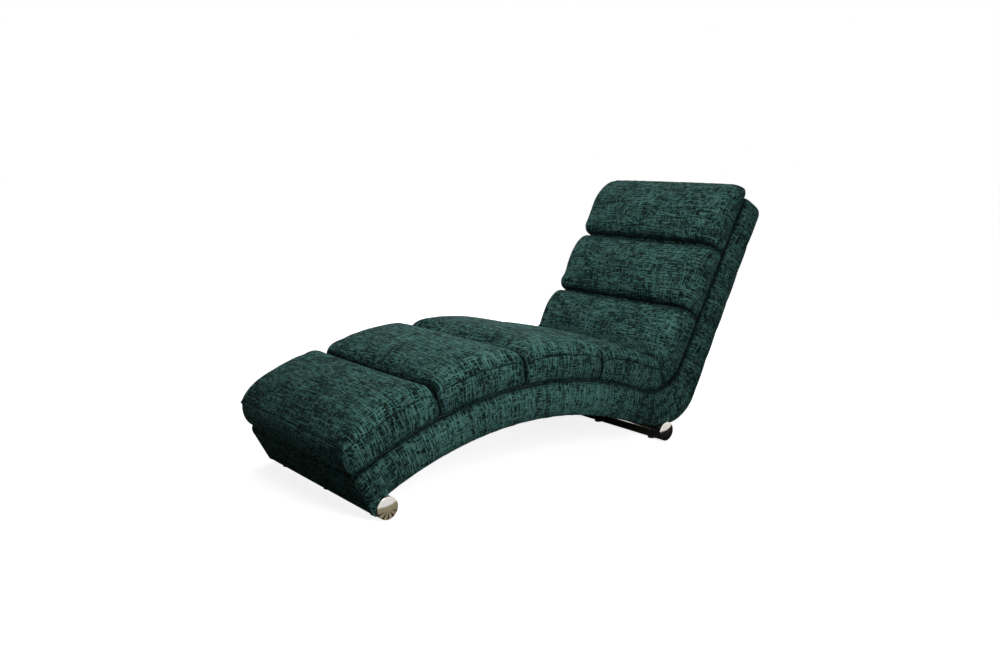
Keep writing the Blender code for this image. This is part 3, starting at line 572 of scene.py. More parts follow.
@dataclass(frozen=True)
class Plating(Finish):
    """Bright plating with faint polishing marks round the tube, and, on the end caps, a painted reflection
    of dark rays fanned over the lower half.
    """

    name: str = "plating"
    colour: tuple = (0.80, 0.78, 0.74)
    warmth: tuple = (0.93, 0.90, 0.86)  # by which the blotches' colour differs
    # painted reflection: the dark colour of the rays on an end cap
    painted_ray_colour: tuple = (0.07, 0.06, 0.045)
    mark: float = 0.0009
    blotches: tuple = (40, 12, 40)  # to the metre along X, Y and Z
    rays: int = 0  # dark rays of painted reflection round an end cap
    ray_reach: tuple = (0.001, 0.019)
    painted_ray_height: tuple = (0.020, 0.034)  # under which the painted rays darken

    def _fan(self, graph: Graph, z: Value) -> Value:
        """The share of painted reflection, in dark rays on a cap, which grows outwards and downwards."""
        across, up = graph.weave()
        distance = (across * across + up * up) ** 0.5
        ray = (up.turn(across) * self.rays).wave().ramp(0.1, 0.85)
        return ray * distance.ramp(*self.ray_reach) * (1 - z.ramp(*self.painted_ray_height))

    def shade(self, graph: Graph) -> None:
        """Adds the plating's nodes."""
        x, y, z = graph.place()
        marks = graph.noise(x * 25, y / self.mark, z * 25, detail=2)
        blotch = graph.grain((x, y, z), self.blotches, detail=2)
        warm = tuple(part * shade for part, shade in zip(self.colour, self.warmth))
        colour = graph.mix(blotch.ramp(0.35, 0.7), self.colour, warm)
        # painted reflection: dark rays on a cap's lower half
        if self.rays:
            colour = graph.mix(self._fan(graph, z), colour, self.painted_ray_colour)
        graph.finish(
            base_color=colour,
            metallic=1.0,
            roughness=0.05 + marks * 0.06 + blotch * 0.03,
            normal=graph.bump(marks, 0.00005, 0.2),
        )


@dataclass(frozen=True)
class MouldedPlastic(Finish):
    """Black moulded plastic with a fine spark-eroded grain, scuffed where it slides."""

    name: str = "black_plastic"
    colour: tuple = (0.014, 0.014, 0.015)
    worn: tuple = (0.060, 0.059, 0.057)
    grain: float = 0.0006
    scuffs: tuple = (500, 90, 500)  # to the metre along X, Y and Z
    scuffed_height: float = 0.0025

    def shade(self, graph: Graph) -> None:
        """Adds the plastic's nodes."""
        x, y, z = graph.place()
        grain = graph.noise(x / self.grain, y / self.grain, z / self.grain, detail=1)
        scuff = graph.grain((x, y, z), self.scuffs, detail=3)
        near_floor = 1 - z.ramp(0.0, self.scuffed_height)
        graph.finish(
            base_color=graph.mix(scuff.ramp(0.45, 0.65) * near_floor * 0.7, self.colour, self.worn),
            roughness=0.42 + grain * 0.2 + near_floor * 0.15,
            normal=graph.bump(grain, 0.0001, 0.5),
        )


@dataclass(frozen=True)
class Plywood(Finish):
    """Birch plywood: long grain on the faces and thin plies on the edges."""

    name: str = "plywood"
    light: tuple = (0.62, 0.46, 0.29)
    dark: tuple = (0.42, 0.28, 0.15)
    ply: float = 0.0015
    grains: tuple = (14, 400, 160)  # to the metre along X, Y and Z

    def shade(self, graph: Graph) -> None:
        """Adds the board's nodes."""
        x, y, z = graph.place()
        grain = graph.grain((x, y, z), self.grains, detail=4, roughness=0.6)
        plies = (y / self.ply).floor() % 2
        tone = grain.ramp(0.3, 0.75) * 0.8 + plies * 0.2
        graph.finish(
            base_color=graph.mix(tone, self.light, self.dark),
            roughness=0.55 + grain * 0.25,
            normal=graph.bump(grain, 0.0004, 0.4),
        )


@dataclass(frozen=True)
class PlainSteel(Finish):
    """Drawn or plated steel with fine marks and a little tarnish."""

    colour: tuple
    tarnish: tuple
    roughness: float
    marks: tuple = (900, 120, 900)  # to the metre along X, Y and Z
    patches: tuple = (70, 70, 70)

    def shade(self, graph: Graph) -> None:
        """Adds the steel's nodes."""
        place = graph.place()
        marks = graph.grain(place, self.marks, detail=3)
        patch = graph.grain(place, self.patches, detail=3)
        graph.finish(
            base_color=graph.mix(patch.ramp(0.48, 0.72), self.colour, self.tarnish),
            metallic=1.0,
            roughness=self.roughness + marks * 0.18,
            normal=graph.bump(marks, 0.00008, 0.4),
        )


@dataclass(frozen=True)
class StrapWebbing(Finish):
    """Black webbing of close cords, twilled across the strap."""

    name: str = "webbing"
    colour: tuple = (0.045, 0.045, 0.047)
    cord: float = 0.0018
    fibres: tuple = (500, 2500, 500)  # to the metre along X, Y and Z

    def shade(self, graph: Graph) -> None:
        """Adds the webbing's nodes."""
        x, y, z = graph.place()
        up = (x * 0.49 + z * 0.87) / self.cord
        twill = ((up + y / self.cord * 0.5) * math.tau).wave() * 0.5 + 0.5
        fibre = graph.grain((x, y, z), self.fibres, detail=2)
        graph.finish(
            base_color=graph.mix(twill * 0.6 + fibre * 0.4, toned(self.colour, 0.4), self.colour),
            roughness=0.9,
            normal=graph.bump(twill + fibre, 0.0004, 0.7),
        )


@dataclass
class SeatLine:
    """The line that the pads lie on, seen from the side: arched leg rest, dip and reclined back."""

    leg_radius: float = 1.200
    seat_depth: float = 0.100
    foot_angle: float = math.radians(28.1)
    back_start: float = 0.567
    recline: float = math.radians(29.4)
    back_length: float = 0.718
    dip_radius: float = 0.150
    tube_radius: float = 0.030
    tube_nest: float = 0.005
    toe_radius: float = 0.0346

    def __post_init__(self) -> None:
        """Places the line by the front tube of the frame, and measures its stretches."""
        arch = self.leg_radius - self.seat_depth
        reach = self.toe_radius + (self.tube_radius - self.tube_nest) * math.sin(self.foot_angle)
        tube_angle = self.foot_angle - math.asin(reach / arch)
        axis_x, _, axis_z = middle_of("front_tube")
        crown_x = axis_x + arch * math.sin(tube_angle)
        centre_z = axis_z + self.tube_radius - self.tube_nest - arch * math.cos(tube_angle)
        self.leg_centre = Vector((crown_x, centre_z))
        self.up_back = Vector((math.sin(self.recline), math.cos(self.recline)))
        self.rearward = Vector((math.cos(self.recline), -math.sin(self.recline)))
        rise = math.sqrt(self.leg_radius**2 - self.back_start**2)
        self.corner = self.leg_centre + Vector((self.back_start, rise))
        from_line = self.corner - self.rearward * self.dip_radius
        foot = from_line + self.up_back * (self.leg_centre - from_line).dot(self.up_back)
        span = (self.leg_radius + self.dip_radius) ** 2 - (foot - self.leg_centre).length_squared
        self.dip_centre = foot + self.up_back * math.sqrt(span)
        to_dip = self.dip_centre - self.leg_centre
        self.leg_end_angle = math.atan2(to_dip.x, to_dip.y)
        self.leg_length = self.leg_radius * (self.foot_angle + self.leg_end_angle)
        self.dip_from = math.atan2(-to_dip.y, -to_dip.x)
        self.dip_turn = math.atan2(self.rearward.y, self.rearward.x) - self.dip_from
        self.back_from = self.leg_length + self.dip_radius * self.dip_turn
        self.back_foot = self.dip_centre + self.rearward * self.dip_radius
        self.head_corner = self.corner + self.up_back * self.back_length
        self.head_at = self.back_from + (self.head_corner - self.back_foot).length
        self.mid_dip = (self.leg_length + self.back_from) / 2

    def place(self, along: np.ndarray, height: np.ndarray) -> tuple[np.ndarray, np.ndarray]:
        """Points at lengths along the line and heights over it.

        Args:
            along: metres from the foot end.
            height: metres over the line.

        Returns:
            X and Z of the points.
        """
        leg = along / self.leg_radius - self.foot_angle
        dip = self.dip_from + (along - self.leg_length) / self.dip_radius
        back = along - self.back_from
        on_leg, on_dip = along <= self.leg_length, along <= self.back_from
        places = []
        for axis, (leg_part, dip_part) in enumerate(((np.sin, np.cos), (np.cos, np.sin))):
            on_arch = self.leg_centre[axis] + leg_part(leg) * (self.leg_radius + height)
            in_dip = self.dip_centre[axis] + dip_part(dip) * (self.dip_radius - height)
            on_back = self.back_foot[axis] + self.up_back[axis] * back - self.rearward[axis] * height
            places.append(np.where(on_leg, on_arch, np.where(on_dip, in_dip, on_back)))
        return places[0], places[1]

    def measure(self, x: np.ndarray, z: np.ndarray) -> tuple[np.ndarray, np.ndarray]:
        """Length along the line and height over it, of points near it.

        Args:
            x: X of the points.
            z: Z of the points.

        Returns:
            Metres along the line, and metres over it.
        """
        leg_x, leg_z = x - self.leg_centre.x, z - self.leg_centre.y
        leg = np.arctan2(leg_x, leg_z)
        back_x, back_z = x - self.back_foot.x, z - self.back_foot.y
        up = back_x * self.up_back.x + back_z * self.up_back.y
        out = -(back_x * self.rearward.x + back_z * self.rearward.y)
        dip_x, dip_z = x - self.dip_centre.x, z - self.dip_centre.y
        dip = np.arctan2(dip_z, dip_x) - self.dip_from
        on_leg = leg <= self.leg_end_angle
        on_back = up >= 0
        along = np.where(on_back, self.back_from + up, self.leg_length + dip * self.dip_radius)
        height = np.where(on_back, out, self.dip_radius - np.hypot(dip_x, dip_z))
        along = np.where(on_leg, (leg + self.foot_angle) * self.leg_radius, along)
        height = np.where(on_leg, np.hypot(leg_x, leg_z) - self.leg_radius, height)
        return along, height


@dataclass
class BaseLine:
    """The outline of the base under the seat line, seen from the side."""

    seat: SeatLine
    heel_depth: float = 0.116
    head_depth: float = 0.096
    heel_radius: float = 0.145
    end_radius: float = 0.020
    head_rear_radius: float = 0.025
    rear_nest: float = 0.0105
    arch_end_angle: float = math.radians(16.6)
    toe_end_angle: float = math.radians(62)
    step: float = 0.004

    def __post_init__(self) -> None:
        """Places the heel and the rear."""
        seat = self.seat
        low = seat.corner + seat.rearward * self.heel_depth
        high = seat.head_corner + seat.rearward * self.head_depth
        self.rear_down = (low - high).normalized()
        self.rear_inward = Vector((self.rear_down.y, -self.rear_down.x))
        start = low + self.rear_inward * self.heel_radius
        height = middle_of("rear_tube")[2] + seat.tube_radius - self.rear_nest + self.heel_radius
        self.heel_centre = start + self.rear_down * (height - start.y) / self.rear_down.y
        inner = low + self.rear_inward * self.head_rear_radius
        top = seat.head_corner - seat.up_back * self.head_rear_radius
        reach = (inner - top).cross(self.rear_down) / seat.rearward.cross(self.rear_down)
        self.head_centre = top + seat.rearward * reach

    def _arc(self, centre: Vector, radius: float, first: float, last: float) -> list[Vector]:
        """Points of a round stretch, between two directions in radians."""
        count = max(4, round(abs(last - first) * radius / self.step))
        turns = [first + (last - first) * number / count for number in range(count + 1)]
        return [centre + Vector((math.cos(turn), math.sin(turn))) * radius for turn in turns]

    def back(self) -> list[Vector]:
        """From the lowest point of the heel, up the rear and over the head end to the seat line."""
        out = math.atan2(-self.rear_inward.y, -self.rear_inward.x)
        up = math.atan2(self.seat.up_back.y, self.seat.up_back.x)
        heel = self._arc(self.heel_centre, self.heel_radius, -math.pi / 2, out)
        rear = self._arc(self.head_centre, self.head_rear_radius, out, up)
        front = self.seat.head_corner + (self.seat.rearward - self.seat.up_back) * self.end_radius
        return heel + rear + self._arc(front, self.end_radius, up, up + math.pi / 2)

    def foot_end(self) -> list[Vector]:
        """From under the front tube, round it and up the foot end."""
        seat = self.seat
        axis = Vector(middle_of("front_tube")[[0, 2]])
        out = math.pi + seat.foot_angle
        toe = self._arc(axis, seat.toe_radius, 1.5 * math.pi - self.toe_end_angle, out)
        reach = math.sqrt((seat.leg_radius - self.end_radius) ** 2 - self.end_radius**2)
        up = Vector((-math.sin(seat.foot_angle), math.cos(seat.foot_angle)))
        centre = seat.leg_centre + up * reach + Vector((up.y, -up.x)) * self.end_radius
        return toe + self._arc(centre, self.end_radius, out, math.pi / 2 + seat.foot_angle)

    def under(self) -> list[Vector]:
        """From the heel, under the arch, to the front tube."""
        seat = self.seat
        radius = seat.leg_radius - seat.seat_depth
        start = self.heel_centre - Vector((0.0, self.heel_radius))
        slope = Vector((math.sin(self.arch_end_angle), math.cos(self.arch_end_angle)))
        end = seat.leg_centre + slope * radius
        handle = (end - start).length / 3
        near, far = start - Vector((handle, 0.0)), end + Vector((slope.y, -slope.x)) * handle
        count = round((end - start).length / self.step)
        run = []
        for number in range(count):
            t = number / count
            rest = 1 - t
            run.append(start * rest**3 + near * 3 * rest**2 * t + far * 3 * rest * t**2 + end * t**3)
        tube_x = middle_of("front_tube")[0] - seat.leg_centre.x
        front = math.pi / 2 - math.asin(tube_x / radius)
        return run + self._arc(seat.leg_centre, radius, math.pi / 2 - self.arch_end_angle, front)


@dataclass(frozen=True)
class EndShape:
    """How a pad ends: the length over which its top falls, by how much, and how far the end swells."""

    length: float
    drop: float
    bulge: float = 0.0
    sewn: bool = False  # the end is a panel of its own, with a seam along its top
    ear: float = 0.0  # by which the sewn corners stand out
    rounding: float = 1.0  # share of the sides' rounding that is left at the end
    setback: float = 0.0  # by which the end leans back at the top
    hidden: float = 0.0  # metres added to the distance from the end's crease or seam, which makes its groove and painted shade fainter

    def fall(self, distance: np.ndarray) -> np.ndarray:
        """The share of the drop at a distance from the end, from 1 there to 0."""
        share = np.clip(1 - distance / self.length, 0, 1)
        return share**2 if self.sewn else 1 - np.sqrt(1 - share**2)


class PadEnd(Enum):
    """The ends that the pads have."""

    GROOVE = EndShape(0.042, 0.032)
    SAG = EndShape(0.036, 0.030)  # lower end of a back pad, where its filling sinks to
    SLOPE = EndShape(0.100, 0.038)  # upper end of a back pad
    DIP = EndShape(0.070, 0.026, hidden=0.003)
    NOOK = EndShape(0.060, 0.014, hidden=0.003)  # lower end of the back, close over the seat
    FOOT = EndShape(
        0.075, 0.026, bulge=0.018, sewn=True, ear=0.009, rounding=0.25, setback=0.012, hidden=0.0016
    )
    HEAD = EndShape(0.110, 0.038, bulge=0.010, sewn=True)


CORNER = EndShape(0.038, 0.013)  # by which the sides are drawn in at a pad's ends


@dataclass(frozen=True)
class ClothPuff:
    """Cloth blown out by the filling behind it."""

    pressure: float = 4.0
    slack: float = 0.005
    frames: int = 20
    tension: float = 15.0
    bending: float = 0.6

    def add(self, obj: Object) -> None:
        """Makes an object cloth, held where its pin group says."""
        modifier = obj.modifiers.new("cloth", "CLOTH")
        settings = modifier.settings
        settings.use_pressure = True
        settings.uniform_pressure_force = self.pressure
        settings.vertex_group_mass = PIN
        settings.tension_stiffness = self.tension
        settings.compression_stiffness = self.tension
        settings.bending_stiffness = self.bending
        settings.shrink_min = -self.slack
        settings.effector_weights.gravity = 0.0
        modifier.collision_settings.use_collision = False
        modifier.point_cache.frame_start = 1
        modifier.point_cache.frame_end = self.frames

    def run(self, pieces: dict[Object, float]) -> None:
        """Blows out several pieces together, and makes the result their mesh.

        Args:
            pieces: the most that a point may move, in metres, for each piece.
        """
        scene = bpy.context.scene
        for obj in pieces:
            self.add(obj)
        for number in range(1, self.frames + 1):
            scene.frame_set(number)
        graph = bpy.context.evaluated_depsgraph_get()
        for obj, most in pieces.items():
            start = points_of(obj)
            moved = points_of(obj.evaluated_get(graph)) - start
            length = np.linalg.norm(moved, axis=1, keepdims=True)
            obj.modifiers.clear()
            move_points(obj, start + moved * (most * np.tanh(length / most) / np.maximum(length, 1e-9)))
            LOG.info("%s swelled by up to %.1f mm", obj.name, 1000 * length.max())
        scene.frame_set(1)


@dataclass
class ChannelPad:
    """One channel of the upholstery: a crowned top panel sewn to side panels, over the base."""

    name: str
    start: float
    end: float
    height: float
    foot_end: EndShape
    head_end: EndShape
    side_seam: float | None  # metres added to the distance from the side seam, which makes its groove and painted shade fainter, or with less than 0 stronger; none without a seam
    line: SeatLine
    width: float = 0.600
    crown: float = 0.010
    arch: float = 0.004
    lean: float = 0.30
    side_radius: float = 0.030
    tuck: float = 0.011
    swell: float = 0.40
    inset: float = 0.004  # of the form that is then blown out
    most_swell: float = 0.007
    end_corner: float = 0.5  # by which an end's swelling is less at its corners
    ear_width: float = 0.022
    end_room: float = 0.020  # by which a sewn end may be blown out
    spacing: float = 0.008
    least_cells: int = 8
    edge_length: float = 0.080  # of the rounded edges, to add to the width
    side_share: float = 0.8  # of the height that the sides have
    crowding: float = 0.55  # of the points towards the sewn lines
    seam_depth: float = 0.0032
    seam_width: float = 0.0035
    join_share: float = 0.6  # of a height over the base, to count as a distance from a seam, for the groove and painted shade along the pad's lower edge
    groove_share: float = 0.55  # of a distance from the next pad, for the groove and painted shade at the pad's end
    gap: float = 0.0004
    side_shift: tuple = (3.0, 5.0)  # metres by which the sides show another part of the weave
    top_shift: float = 2.0
    obj: Object = field(init=False)

    def _block(self) -> Object:
        """A block of square cells, 1 along, 1 across and 1 high, to be bent into the pad."""
        sizes = (self.end - self.start, self.width + self.edge_length, self.height * self.side_share)
        counts = [max(self.least_cells, round(size / self.spacing)) for size in sizes]
        obj = add_grid(self.name, counts)
        bpy.ops.object.mode_set(mode="EDIT")
        bpy.ops.mesh.select_all(action="SELECT")
        for _ in range(counts[2]):
            bpy.ops.mesh.extrude_region_move(TRANSFORM_OT_translate={"value": (0, 0, 1 / counts[2])})
        bpy.ops.object.mode_set(mode="OBJECT")
        edit_all(obj, bpy.ops.mesh.normals_make_consistent, inside=False)
        renumber(obj)
        return obj

    def _bend(self, share: np.ndarray, across: np.ndarray, rise: np.ndarray) -> np.ndarray:
        """The pad's form before it is blown out.

        Args:
            share: place along the pad, from 0 to 1.
            across: place across it, from -1 to 1.
            rise: place up its sides, from 0 to 1.

        Returns:
            Rows of length along the seat line, Y, height over the line, length round the top from the
            middle, length round the top from the side seam, and depth under the top.
        """
        start = self.start + self.gap + self.foot_end.setback * rise
        end = self.end - self.gap - self.head_end.setback * rise
        along = start + share * (end - start)
        from_foot, from_head = along - start, end - along
        rim = self.height - self.inset
        rim = rim - self.foot_end.drop * self.foot_end.fall(from_foot)
        rim = rim - self.head_end.drop * self.head_end.fall(from_head)
        drawn = np.maximum(CORNER.fall(from_foot), CORNER.fall(from_head))
        half = self.width / 2 - self.inset - CORNER.drop * drawn
        middle = 2 * share - 1
        crown = self.crown * (1 - middle**2) * (1 - self.lean * middle)
        rim = rim + self.arch * (1 - middle**2)
        radius = 1 - (1 - self.foot_end.rounding) * self.foot_end.fall(from_foot)
        radius = self.side_radius * (radius - (1 - self.head_end.rounding) * self.head_end.fall(from_head))
        flat = half - radius
        most = flat + radius * math.pi / 2
        reach = np.abs(across) * most
        turn = np.clip((reach - flat) / radius, 0, math.pi / 2)
        top_y = np.minimum(reach, flat) + radius * np.sin(turn)
        top = rim + crown * (1 - np.minimum(reach / flat, 1) ** 2) - radius * (1 - np.cos(turn))
        tucked = 1 - self.tuck / half * (1 - np.minimum(rise / self.swell, 1)) ** 2
        hump = (1 - (2 * rise - 1) ** 2) * (1 - self.end_corner * across**4)
        along = along - self.foot_end.bulge * hump * (share < EDGE)
        along = along + self.head_end.bulge * hump * (share > 1 - EDGE)
        y = np.sign(across) * top_y * tucked
        return np.stack([along, y, top * rise, np.sign(across) * reach, most - reach, top * (1 - rise)], -1)

    def _crowd(self, block: np.ndarray) -> tuple[np.ndarray, np.ndarray, np.ndarray]:
        """Places along, across and up the pad, closer together near its sewn lines."""
        share, across, rise = block[:, 0] + 0.5, block[:, 1] * 2, block[:, 2]
        share = share - self.crowding * np.sin(math.tau * share) / math.tau
        across = across * (1 + self.crowding * (1 - np.abs(across)))
        return share, across, rise * (1 + self.crowding * (1 - rise))

    def _set_yarns(self, block: np.ndarray, bent: np.ndarray) -> None:
        """Lays the weft across the top and the ends, and up the side panels."""
        corners, faces = corner_points(self.obj)
        count = len(self.obj.data.polygons)
        middles = np.zeros((count, 3))
        np.add.at(middles, faces, block[corners])
        middles = middles[faces] / np.bincount(faces, minlength=count)[faces][:, None]
        along, y, height, reach = bent[corners, :4].T
        on_side = np.abs(middles[:, 1]) > 0.5 - EDGE
        at_foot, at_head = middles[:, 0] < EDGE - 0.5, middles[:, 0] > 0.5 - EDGE
        down = self.height - height
        length = np.where(at_foot, along - down, np.where(at_head, along + down, along))
        set_weave(
            self.obj,
            np.where(on_side, height + np.sign(y) * self.side_shift[0], reach),
            np.where(on_side, along + self.side_shift[1], length + self.top_shift),
        )

    def build(self) -> None:
        """Makes the pad's form, with its sewn lines marked and its cloth pinned."""
        self.obj = self._block()
        block = points_of(self.obj)
        share, across, rise = self._crowd(block)
        bent = self._bend(share, across, rise)
        at_top = rise > 1 - EDGE
        at_side = np.abs(across) > 1 - EDGE
        at_foot, at_head = share < EDGE, share > 1 - EDGE
        held = at_top & at_side & (self.side_seam is not None) | (rise < EDGE)
        away = np.where(at_side, bent[:, 2] * self.join_share, 1.0)
        from_seam = np.ones(len(share))
        if self.side_seam is not None:
            from_seam = np.where(at_top, bent[:, 4], np.where(at_side, bent[:, 5], 1.0)) + self.side_seam
        for end, here, inward in ((self.foot_end, at_foot, share), (self.head_end, at_head, 1 - share)):
            if end.sewn:
                held |= at_top & here
                to_end = inward * (self.end - self.start)
                to_seam = np.where(at_top, to_end, np.where(here, bent[:, 5], 1.0)) + end.hidden
                from_seam = np.minimum(from_seam, to_seam)
                away = np.where(here, bent[:, 2] * self.join_share, away)
                from_corner = (1 - np.abs(across)) * self.width / 2
                ears = end.ear * np.exp(-((from_corner / self.ear_width) ** 2)) * (at_top & here)
                bent[:, 0] += np.where(at_foot, -ears, ears)
                bent[:, 1] += np.sign(across) * ears
            else:
                held |= here
                to_end = inward * (self.end - self.start) * self.groove_share + end.hidden
                away = np.where(at_top | at_side, np.minimum(away, to_end), away)
        # sewn lines and creases, for the grooves drawn in later and for painted shade
        set_point_values(self.obj, SEAM, np.clip(1 - from_seam / REACH, 0, 1))
        set_point_values(self.obj, CREASE, np.clip(1 - away / REACH, 0, 1))
        self._set_yarns(block, bent)
        x, z = self.line.place(bent[:, 0], bent[:, 2])
        move_points(self.obj, np.stack([x, bent[:, 1], z], -1))
        add_group(self.obj, PIN, held)

    def finish(self, fabric: Material) -> None:
        """Keeps the blown pad within its own stretch, refines it, draws its seams in and dresses it.

        Args:
            fabric: the cover's material.
        """
        points = points_of(self.obj)
        along, height = self.line.measure(points[:, 0], points[:, 2])
        low = self.start + self.gap - (self.foot_end.bulge + self.end_room) * self.foot_end.sewn
        high = self.end - self.gap + (self.head_end.bulge + self.end_room) * self.head_end.sewn
        x, z = self.line.place(np.clip(along, low, high), np.maximum(height, self.gap))
        move_points(self.obj, np.stack([x, points[:, 1], z], -1))
        apply_modifier(self.obj, "SUBSURF", levels=1, render_levels=1)
        away = (1 - np.maximum(point_values(self.obj, SEAM), point_values(self.obj, CREASE))) * REACH
        depth = self.seam_depth * np.exp(-((away / self.seam_width) ** 2))
        move_points(self.obj, points_of(self.obj) - points_of(self.obj, "normal") * depth[:, None])
        select_only(self.obj)
        bpy.ops.object.shade_smooth()
        self.obj.vertex_groups.clear()
        stand_in(self.obj, fabric, "teal_fabric", f"{self.name}_cover", f"{self.name}_foam")


@dataclass
class PadRow:
    """The seven pads, from the foot end to the head end."""

    line: SeatLine
    foot: float = 0.283
    calf: float = 0.286
    thigh: float = 0.288
    middle: float = 0.225
    head: float = 0.206
    foot_height: float = 0.111
    seat_height: float = 0.107
    lumbar_height: float = 0.121
    middle_height: float = 0.104
    head_height: float = 0.096
    foot_inset: float = 0.004
    head_overhang: float = 0.020

    def build(self) -> list[ChannelPad]:
        """Makes the pads.

        Returns:
            The pads, still to be blown out and finished.
        """
        thigh_at = self.foot + self.calf
        seat_at = thigh_at + self.thigh
        head_at = self.line.head_at - self.head
        middle_at = head_at - self.middle
        dip, end = self.line.mid_dip, self.line.head_at + self.head_overhang
        groove, sag, slope = PadEnd.GROOVE.value, PadEnd.SAG.value, PadEnd.SLOPE.value
        low = self.seat_height
        rows = (
            ("foot_pad", self.foot_inset, self.foot, self.foot_height, PadEnd.FOOT.value, groove, 0.0008),
            ("calf_pad", self.foot, thigh_at, low, groove, groove, -0.0006),
            ("thigh_pad", thigh_at, seat_at, low, groove, groove, -0.0011),
            ("seat_pad", seat_at, dip, low, groove, PadEnd.DIP.value, -0.0011),
            ("lumbar_pad", dip, middle_at, self.lumbar_height, PadEnd.NOOK.value, slope, None),
            ("middle_pad", middle_at, head_at, self.middle_height, sag, slope, None),
            ("head_pad", head_at, end, self.head_height, sag, PadEnd.HEAD.value, None),
        )
        made = [ChannelPad(*row, line=self.line) for row in rows]
        for pad in made:
            pad.build()
        return made


